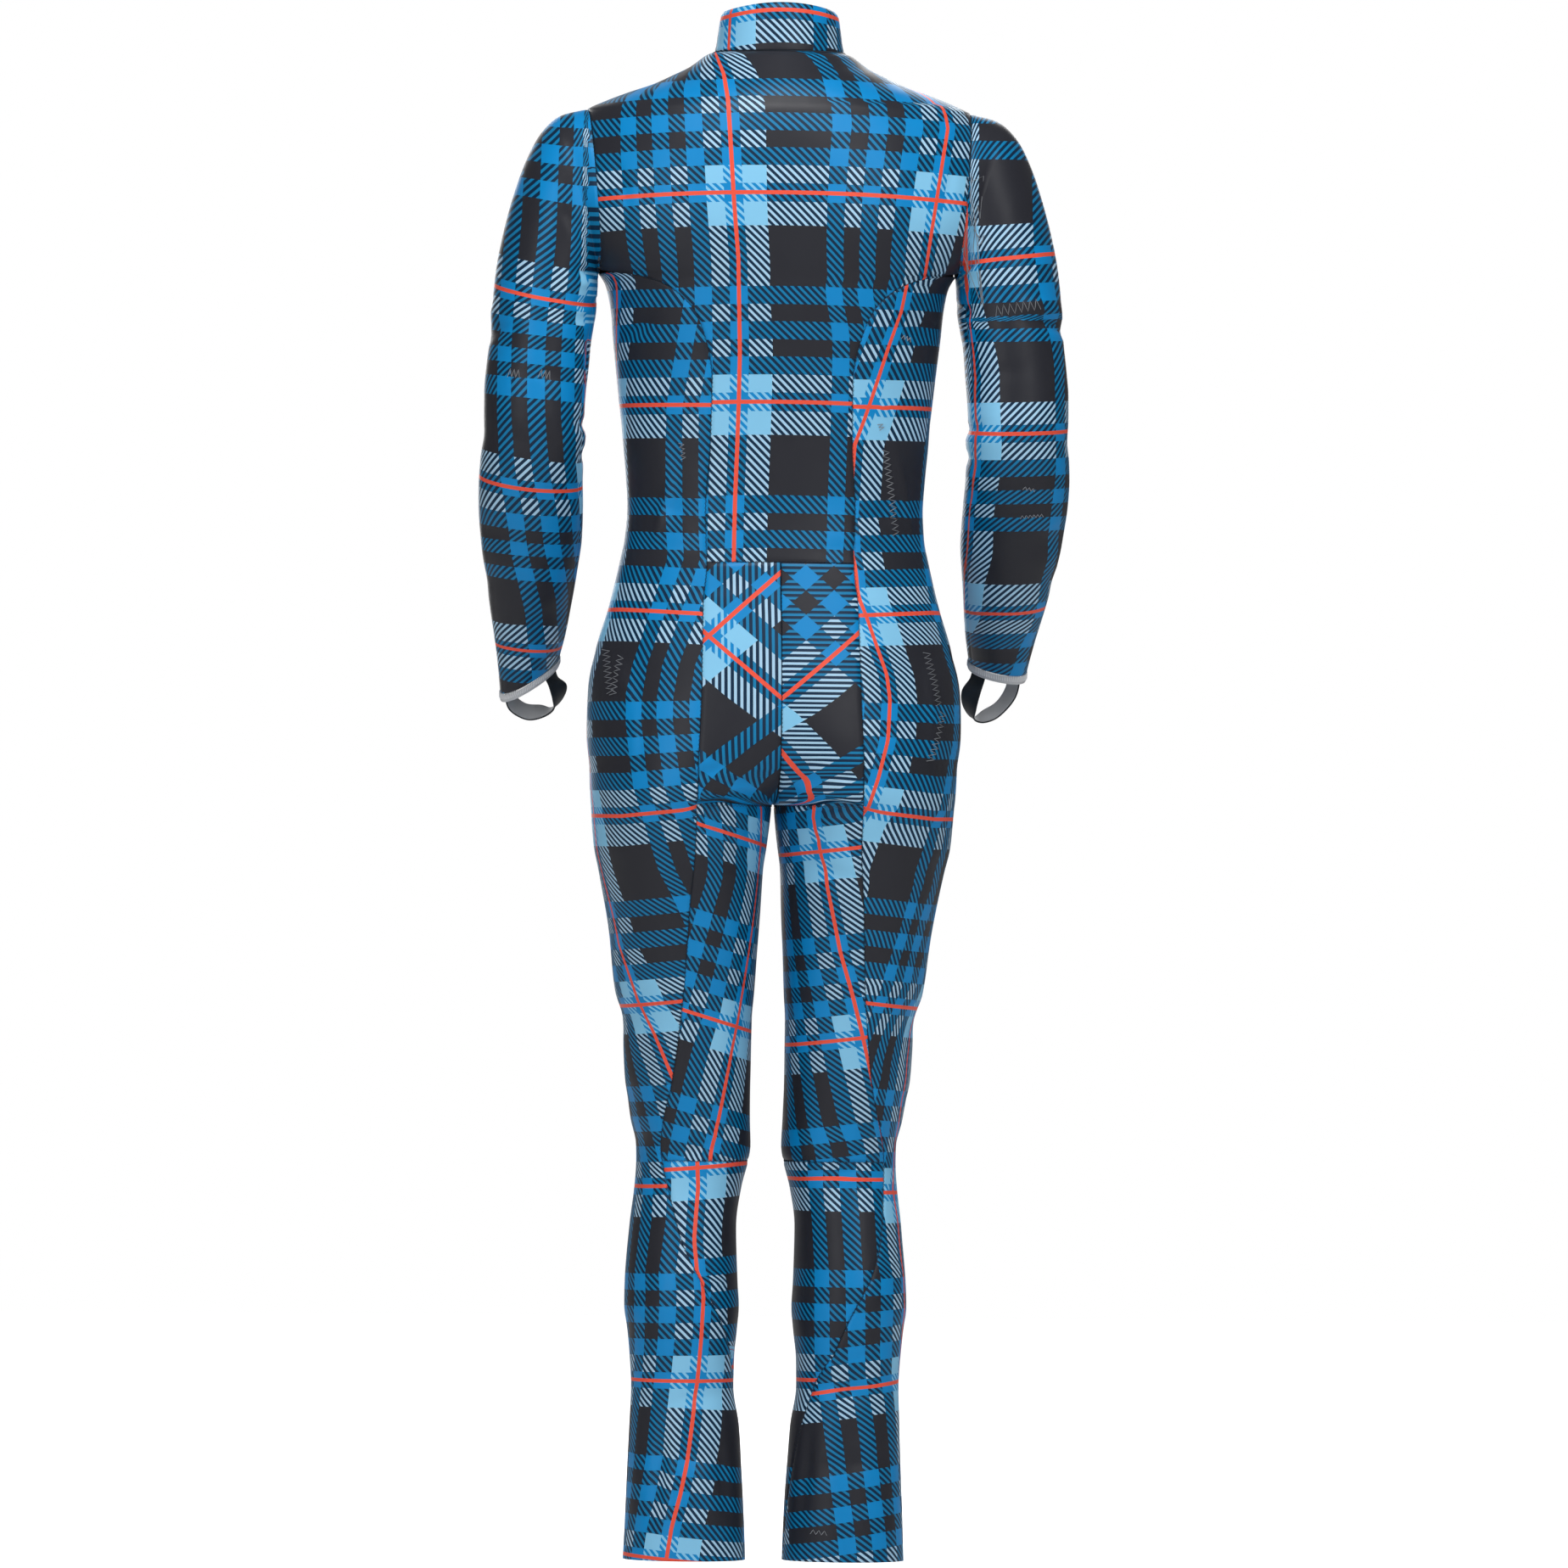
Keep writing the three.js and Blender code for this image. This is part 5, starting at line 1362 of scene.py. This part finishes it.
def makeHandLoop(side):
    name = sideName(side)
    cuff = ringAt(sleeve["lastRing"])
    outerZ = cuff["outerZ"] + sleeve["cuffReach"][name]
    middleX, middleZ = (cuff["outerX"] + cuff["innerX"]) / 2, (outerZ + cuff["innerZ"]) / 2
    slope = (outerZ - cuff["innerZ"]) / (cuff["outerX"] - cuff["innerX"])
    lean = math.tan(math.radians(cuff["tilt"]))
    centres = [Vector((middleX + out, cuff["midY"] + forward, middleZ + out * slope + forward * lean
                       + (up * strapHang[name] if up < 0 else up)))
               for out, forward, up, _, _, _ in strapStations]
    widths = [Vector(station[3:]) for station in strapStations]
    points, prints, outside = [], [], None
    for step in range(strap["steps"] + 1):
        share = step / strap["steps"]
        centre = curvePoint(centres, share)
        ahead = curvePoint(centres, min(share + 0.01, 1)) - curvePoint(centres, max(share - 0.01, 0))
        wide = curvePoint(widths, share, True).normalized()
        normal = wide.cross(ahead).normalized()
        row = []
        for place in strap["across"]:
            roll = strap["edgeRoll"] * strap["thickness"] if abs(place) == 0.5 else 0.0
            point = centre + wide * place * strap["width"] + normal * (strap["thickness"] / 2 - roll)
            row.append(Vector((side * point.x, point.y, point.z)))
        points.append(row)
        prints.append([(i * strap["width"], step * strap["stepPrint"]) for i in range(len(row))])
        if step == strap["steps"] // 2:
            outside = Vector((side * normal.x, normal.y, normal.z))
    piece = clothGrid(f"handLoop{name.title()}", points, prints, outside, [loopCloth, loopSilver])
    addWall(piece, strap["thickness"])
    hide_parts(f"hand_loop_{name}")


for side in (-1, 1):
    makeSleeve(side)
    makeCuff(side)
    makeHandLoop(side)
print("sleeves, cuffs and hand loops ready")


# Collar: stand of doubled cloth with a rolled top edge, open at the zip
collar = {
    "rise": {"back": 43.0, "side": 36.0, "front": 50.0},
    "middleY": 2.0,
    "columns": 66,
    "levels": 22,
    "fineLevels": (0.004, 0.02, 0.045, 0.08),   # first rows beside the neck seam
    "halfLength": 160.0,
    "roll": 0.9,
    "rollReach": 3.5,
    "lineAt": 55.0,         # print measure at the centre back, and level at the top edge
    "levelAt": -6.5,
}
collarProfile = table(
    ["rise", "half", "back", "front"],
    [[0, 58.6, 53, 54], [0.12, 57, 51.5, 53.5], [0.5, 55, 50, 53], [0.85, 53, 49, 52.5], [1, 50.5, 47, 51]])


def collarSurface(side, level, angle):
    sin, cos = math.sin(angle), math.cos(angle)
    half, back, front = (valueAt(collarProfile, "rise", level, name) for name in ("half", "back", "front"))
    seam = -cut["neckDrop"] * cos * cos if cos < 0 else 0.0
    middleRise = collar["rise"]["front"] if cos < 0 else collar["rise"]["back"]
    rise = collar["rise"]["side"] + (middleRise - collar["rise"]["side"]) * cos * cos
    depth = back if cos > 0 else front
    return Vector((side * half * sin, collar["middleY"] - cos * depth, seam + level * rise))


def makeCollar():
    fine, count, tall = collar["fineLevels"], collar["levels"], collar["rise"]["back"]
    levels = list(fine) + [fine[-1] + (1 - fine[-1]) * i / count for i in range(1, count + 1)]
    points, prints = [], []
    for level in reversed(levels):
        half = valueAt(collarProfile, "rise", level, "half")
        end = math.pi - math.asin((cut["zipHalfWidth"] + 0.1) / half)
        turns = [end * share for share in rowShares(collar["halfLength"], collar["columns"], (False, True))]
        row = [(-1, a) for a in reversed(turns[1:])] + [(1, a) for a in turns]
        flat = [collarSurface(s, level, a) for s, a in row]
        along = rowMeasure(flat)
        middle = along[len(turns) - 1]
        roll = collar["roll"] * softPatch((1 - level) * tall / collar["rollReach"])
        placed = []
        for s, point in zip(along, flat):
            inwards = (Vector((0, collar["middleY"], point.z)) - point).normalized()
            fromSeam = min(level * tall, s + drape["seamReach"], along[-1] - s + drape["seamReach"])
            placed.append(point + inwards * (edgeDip(fromSeam) + roll))
        points.append(placed)
        tops = [collarSurface(s, 1.0, a).z for s, a in row]
        prints.append([(s - middle + collar["lineAt"], top - point.z + collar["levelAt"])
                       for s, top, point in zip(along, tops, flat)])
    piece = clothGrid("collarStand", points, prints, Vector((0, -1, 0)), [checkCloth, liningCloth])
    addWall(piece, cut["collarWall"])
    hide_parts("collar")


makeCollar()
print("collar ready")


# Zip: a narrow tape between the fronts, its coil, the slider and the pull
zipParts = {
    "collarSteps": 12,
    "bodyStep": 4.0,
    "across": (-1.0, -0.9, -0.5, 0.0, 0.5, 0.9, 1.0),
    "edgeRoll": 0.25,
    "pitch": 1.5,
    "tooth": (2.3, 0.5, 0.62),      # width, depth and height
    "toothAside": 0.28,
    "toothRise": 0.12,
}


def zipLine():
    steps = zipParts["collarSteps"]
    line = [collarSurface(1, 1 - i / steps, math.pi) for i in range(steps + 1)]
    z = -zipParts["bodyStep"]
    while z > cut["zipBottomZ"]:
        line.append(bodySurface(1, round(z, 2), math.pi))
        z -= zipParts["bodyStep"]
    line.append(bodySurface(1, cut["zipBottomZ"], math.pi))
    return line


def zipFrames(line):
    frames = []
    for i, point in enumerate(line):
        run = (line[min(i + 1, len(line) - 1)] - line[max(i - 1, 0)]).normalized()
        frames.append((Vector((0, point.y, point.z)), run, Vector((0, -run.z, run.y))))
    return frames


def makeZip():
    frames = zipFrames(zipLine())
    points, prints = [], []
    for r, (centre, _, out) in enumerate(frames):
        rolls = [zipParts["edgeRoll"] if abs(place) == 1 else 0.0 for place in zipParts["across"]]
        points.append([centre + Vector((place * cut["zipHalfWidth"], 0, 0)) - out * roll
                       for place, roll in zip(zipParts["across"], rolls)])
        prints.append([(place * cut["zipHalfWidth"], r * zipParts["bodyStep"])
                       for place in zipParts["across"]])
    tape = clothGrid("zipTape", points, prints, Vector((0, 1, 0)), [zipCloth])
    addWall(tape, cut["wall"], 0)
    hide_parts("zip_tape")

    bm = bmesh.new()
    travelled, toothAt, half = 0.0, 1.0, -1
    width = zipParts["tooth"][0]
    for (centre, run, out), (after, _, _) in zip(frames, frames[1:]):
        length = (after - centre).length
        while toothAt <= travelled + length:
            half = -half
            tooth = bmesh.ops.create_cube(bm, size=1)["verts"]
            turn = Matrix((Vector((1, 0, 0)), out, -run)).transposed().to_4x4()
            spot = centre + run * (toothAt - travelled) + out * zipParts["toothRise"]
            spot += Vector((half * width * zipParts["toothAside"], 0, 0))
            bmesh.ops.scale(bm, verts=tooth, vec=zipParts["tooth"])
            bmesh.ops.transform(bm, verts=tooth, matrix=Matrix.Translation(spot) @ turn)
            toothAt += zipParts["pitch"] / 2
        travelled += length
    bmesh.ops.scale(bm, verts=bm.verts, vec=(mm, mm, mm))
    finishPiece("zipCoil", bm, [zipCoil], smooth=False)


# A hard piece of the CAD model with its sharp edges rounded
metalEdges = {"flat": 3, "sharp": 30}


def roundedCopy(name, node, width, body):
    source = bpy.data.objects[node]
    bm = bmesh.new()
    bm.from_mesh(source.data)
    bmesh.ops.remove_doubles(bm, verts=bm.verts, dist=0.00001)
    bmesh.ops.dissolve_limit(bm, angle_limit=math.radians(metalEdges["flat"]), verts=bm.verts,
                             edges=bm.edges)
    edges = [edge for edge in bm.edges if edge.calc_face_angle(0) > math.radians(metalEdges["sharp"])]
    bmesh.ops.bevel(bm, geom=edges, offset=width * mm, segments=2, profile=0.5, affect="EDGES",
                    material=-1, clamp_overlap=True)
    piece = finishPiece(name, bm, [zipMetal], body)
    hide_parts(node)


makeZip()
roundedCopy("zipSlider", "zip_slider", 0.35, suitBody)
roundedCopy("zipPull", "zip_pull", 0.25, pullBody)
print("zip ready")


# Threads: small tubes of three sides along lines of points. Their sides are turned from a way that no
# thread runs along.
threadAway = Vector((0.3, 0.2, 0.9))
threadTurns = (0.0, 2.0944, 4.1888)


def makeThreads(name, lines, radius, material):
    bm = bmesh.new()
    for line in lines:
        rings = []
        for i, point in enumerate(line):
            run = (line[min(i + 1, len(line) - 1)] - line[max(i - 1, 0)]).normalized()
            first = run.cross(threadAway).normalized() * radius
            second = run.cross(first)
            rings.append([bm.verts.new((point + first * math.cos(turn) + second * math.sin(turn)) * mm)
                          for turn in threadTurns])
        for ring, after in zip(rings, rings[1:]):
            for k in range(len(ring)):
                nextSide = (k + 1) % len(ring)
                bm.faces.new((ring[k], ring[nextSide], after[nextSide], after[k]))
        bm.faces.new(tuple(reversed(rings[0])))
        bm.faces.new(tuple(rings[-1]))
    return finishPiece(name, bm, [material], smooth=False)


# Point on the back of the body or of a sleeve, where it is seen, raised by a little
def pointSeen(side, onSleeve, x, z, rise):
    if not onSleeve:
        half, z = 1 if x >= 0 else -1, round(z, 2)
        angle = angleAt(z, abs(x))
        for _ in range(3):
            angle = angleAt(z, abs(x + viewSlant * bodySurface(half, z, angle).y))
        return bodyPoint(half, z, angle) + bodyNormal(half, z, angle) * rise

    # The ring and the angle are each mended by turns, from near the elbow
    ring, angle, step, edge = 9.0, 0.0, 0.5, 0.98
    for _ in range(14):
        point = sleeveSurface(side, round(ring, 4), angle)
        low = ringAt(round(ring, 4))
        high = ringAt(round(min(ring, sleeve["cuffRing"] - step) + step, 4))
        fall = (low["outerZ"] + low["innerZ"] - high["outerZ"] - high["innerZ"]) / 2
        ring = clamp(ring + (point.z - z) / fall * step, 0.1, sleeve["cuffRing"] - 0.1)
        middle, wide = (low["outerX"] + low["innerX"]) / 2, (low["outerX"] - low["innerX"]) / 2
        angle = math.asin(clamp((side * (x + viewSlant * point.y) - middle) / wide, -edge, edge))
    return sleevePoint(side, round(ring, 4), angle, -rise)[0]


# Bar tacks in zigzag over the pads: side, on the sleeve, two ends as seen, width, pitch
padTacks = table(
    ["side", "onSleeve", "x0", "z0", "x1", "z1", "width", "pitch"],
    [
        [-1, 1, -239, -291, -228, -292, 8, 3.2], [-1, 1, -212, -291, -202, -293, 8, 3.2],
        [1, 1, 191, -131, 186, -155, 8, 4.5], [1, 1, 196, -231, 234, -224, 10, 5.5],
        [1, 1, 222, -388, 232, -390, 3, 3.0], [1, 1, 220, -414, 240, -412, 3, 3.5],
        [-1, 0, -150, -536, -143, -576, 7, 5.0], [-1, 0, -136, -542, -141, -578, 6, 5.0],
        [1, 0, 137, -536, 146, -584, 7, 5.0], [1, 0, 150, -590, 140, -634, 6, 5.0],
        [1, 0, 98, -356, 108, -432, 6, 5.5], [1, 0, 93, -333, 95, -338, 5, 2.5],
        [-1, 0, -84, -352, -82, -367, 5, 3.5], [1, 0, 112, -255, 120, -258, 4, 3.0],
        [1, 0, 41, -1323, 56, -1324, 4, 4.5],
    ])


tackRise = 0.3


def tackLines():
    lines = []
    for tack in padTacks:
        start, end = Vector((tack["x0"], 0, tack["z0"])), Vector((tack["x1"], 0, tack["z1"]))
        length = (end - start).length
        along = (end - start) / length
        across = Vector((-along.z, 0, along.x)) * tack["width"]
        count = max(2, round(length / tack["pitch"])) * 2
        line = [start + (end - start) * (i / count) + across * (0.5 if i % 2 else -0.5)
                for i in range(count + 1)]
        points = [a + (b - a) * (k / 4) for a, b in zip(line, line[1:]) for k in range(4)] + line[-1:]
        lines.append([pointSeen(tack["side"], tack["onSleeve"], p.x, p.z, tackRise) for p in points])
    return lines


# Overlock on the cuff tapes: loops across the edge between sleeve and tape, each by ring, by how far
# it has come on its way round and by its height over the cloth
overlockCount = 110
overlockSteps = [[19.93, 0, 0.15], [19.98, 0, 0.55], [20.2, 0.275, 0.75], [20.42, 0.55, 0.95],
                 [20.5, 0.55, 0.85]]


def cuffLoops(side):
    return [[sleevePoint(side, ring, math.radians(360 * (i + ahead) / overlockCount), -rise)[0]
             for ring, ahead, rise in overlockSteps] for i in range(overlockCount)]


# Flat-lock thread that winds to and fro across a seam of the body, sunk into the cloth
flatLock = {"width": 0.8, "pitch": 1.9, "sunk": 0.55}


def seamLine(side, top, bottom, edge):
    line, z, i = [], top, 0
    while z > bottom:
        at, low = round(z, 2), round(max(z - 1, cut["hemZ"]), 2)
        angle = edge(at)
        point = bodySurface(side, at, angle)
        beside = (bodySurface(side, at, angle + 0.02) - point).normalized()
        beside *= flatLock["width"] if i % 2 else -flatLock["width"]
        line.append(point + beside - bodyNormal(side, at, angle) * flatLock["sunk"])
        z -= flatLock["pitch"] / max((point - bodySurface(side, low, edge(low))).length, 1.0)
        i += 1
    return line


def crossLine(z, rowAt):
    row = rowAt(z)
    flat = [bodySurface(half, z, angle) for half, angle in row]
    along = rowMeasure(flat)
    line, at, i, k = [], 1.0, 0, 0
    while at < along[-1] - 1:
        while along[k + 1] < at:
            k += 1
        share = (at - along[k]) / (along[k + 1] - along[k])
        beside = Vector((0, 0, flatLock["width"] if i % 2 else -flatLock["width"]))
        line.append(flat[k] + (flat[k + 1] - flat[k]) * share + beside
                    - bodyNormal(row[k][0], z, row[k][1]) * flatLock["sunk"])
        at += flatLock["pitch"]
        i += 1
    return line


# Rolled seam where the collar stands on the neck
neckSeam = {"steps": 60, "sunk": 0.8}


def neckLine():
    turns = [frontMiddle(0.0) * i / neckSeam["steps"] for i in range(neckSeam["steps"] + 1)]
    ring = [(-1, turn) for turn in reversed(turns[1:])] + [(1, turn) for turn in turns]
    return [bodySurface(half, 0.0, turn) - bodyNormal(half, 0.0, turn) * neckSeam["sunk"]
            for half, turn in ring]


def makeStitching():
    makeThreads("neckSeam", [neckLine()], 0.75, seamThread)
    makeThreads("padTacks", tackLines(), 0.32, greyThread)
    for side in (-1, 1):
        name = sideName(side).title()
        makeThreads(f"cuffOverlock{name}", cuffLoops(side), 0.3, whiteThread)

        def sideEdge(z):
            return backEdge(side, z)

        def legRow(z):
            return crotchRow(side, z, backMiddle(z), backEdge(side, z), -math.pi / 2, 60)

        lines = [
            seamLine(side, cut["armpitZ"] - 1, cut["hemZ"] + 1, sideEdge),
            seamLine(side, cut["shoulderTipZ"] - 2, cut["armpitZ"] + 1, sideEdge),
            seamLine(side, cut["armpitZ"] - 1, cut["hemZ"] + 1, frontEdge),
            crossLine(cut["crotchZ"], legRow),
            crossLine(cut["kneeSeamZ"], legRow),
        ]
        makeThreads(f"seamThread{name}", lines, 0.24, seamThread)
    lines = [crossLine(cut["waistSeamZ"], backRow), seamLine(1, cut["waistSeamZ"] - 1, -668, backMiddle)]
    makeThreads("seamThreadWaist", lines, 0.24, seamThread)


makeStitching()
print("stitching ready")


# Floor, light and camera
stage = {
    "floorZ": -1.372,
    "floorSize": 14.0,
    "floorShade": 0.86,
    "floorGlow": 0.96,      # what the camera sees of the floor and the sky is white
    "skyGlow": 0.84,
    "skyLight": 0.16,
    "aim": (0, 0, -0.6),
}
lights = [
    # name, place, size, watts
    ("keyLight", (1.5, -3.5, 1.0), (1.2, 2.6), 40),
    ("fillLight", (-2.2, -3.1, 0.2), (1.2, 2.6), 31),
    ("rimLight", (0.9, 3.5, 0.8), (1.0, 2.2), 28),
    ("backLight", (-0.9, 3.5, 0.3), (1.0, 2.2), 24),
    ("topLight", (0.0, -1.5, 2.2), (2.0, 0.8), 60),
]


def makeStage():
    bpy.ops.mesh.primitive_plane_add(size=stage["floorSize"], location=(0, 0, stage["floorZ"]))
    floor = bpy.context.object
    floor.name = "floor"
    paint, tree, shader = newMaterial("floorPaint", Roughness=0.9, Emission_Color=(1, 1, 1, 1),
                                      Base_Color=(stage["floorShade"],) * 3 + (1,))
    seen = tree.nodes.new("ShaderNodeLightPath").outputs["Is Camera Ray"]
    feed(tree, shader.inputs["Emission Strength"], mathStep(tree, "MULTIPLY", seen, stage["floorGlow"]))
    floor.data.materials.append(paint)
    floor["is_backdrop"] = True
    for name, place, size, power in lights:
        light = bpy.data.lights.new(name, "AREA")
        light.shape = "RECTANGLE"
        light.size, light.size_y = size
        light.energy = power
        lamp = bpy.data.objects.new(name, light)
        lamp.location = place
        towards = Vector(stage["aim"]) - Vector(place)
        lamp.rotation_euler = towards.to_track_quat("-Z", "Y").to_euler()
        bpy.context.collection.objects.link(lamp)
    world = bpy.data.worlds.new("studio")
    world.use_nodes = True
    tree = world.node_tree
    background = tree.nodes["Background"]
    seen = tree.nodes.new("ShaderNodeLightPath").outputs["Is Camera Ray"]
    strength = mathStep(tree, "MULTIPLY_ADD", seen, stage["skyGlow"], stage["skyLight"])
    background.inputs["Color"].default_value = (1, 1, 1, 1)
    feed(tree, background.inputs["Strength"], strength)
    bpy.context.scene.world = world
    bpy.context.scene.view_settings.view_transform = "Standard"


# The camera stands a little to the suit's left and leans by half a degree, as the picture does
view = {
    "turn": -4.0,
    "roll": 0.58,
    "distance": 14.0,
    "right": 0.0106,
    "height": -0.655,
    "frameWidth": 1.404,
    "sensor": 36,
}


def makeCamera():
    turn, roll = math.radians(view["turn"]), math.radians(view["roll"])
    right = Vector((math.cos(turn), math.sin(turn), 0))
    away = Vector((-math.sin(turn), math.cos(turn), 0))
    aim = right * view["right"] + Vector((0, 0, view["height"]))
    data = bpy.data.cameras.new("camera")
    data.sensor_width = view["sensor"]
    data.lens = view["sensor"] * view["distance"] / view["frameWidth"]
    camera = bpy.data.objects.new("camera", data)
    up = Vector((0, 0, 1)) * math.cos(roll) - right * math.sin(roll)
    across = away.cross(up).normalized()
    basis = Matrix((across, up, -away)).transposed()
    camera.rotation_euler = basis.to_euler()
    camera.location = aim - away * view["distance"]
    bpy.context.collection.objects.link(camera)
    bpy.context.scene.camera = camera


makeStage()
makeCamera()

bpy.context.view_layer.update()
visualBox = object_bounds()
boxes = {"cad": cadBox, "visual": visualBox}
{name: [list(corner) for corner in box] for name, box in boxes.items()}
print("scene ready")
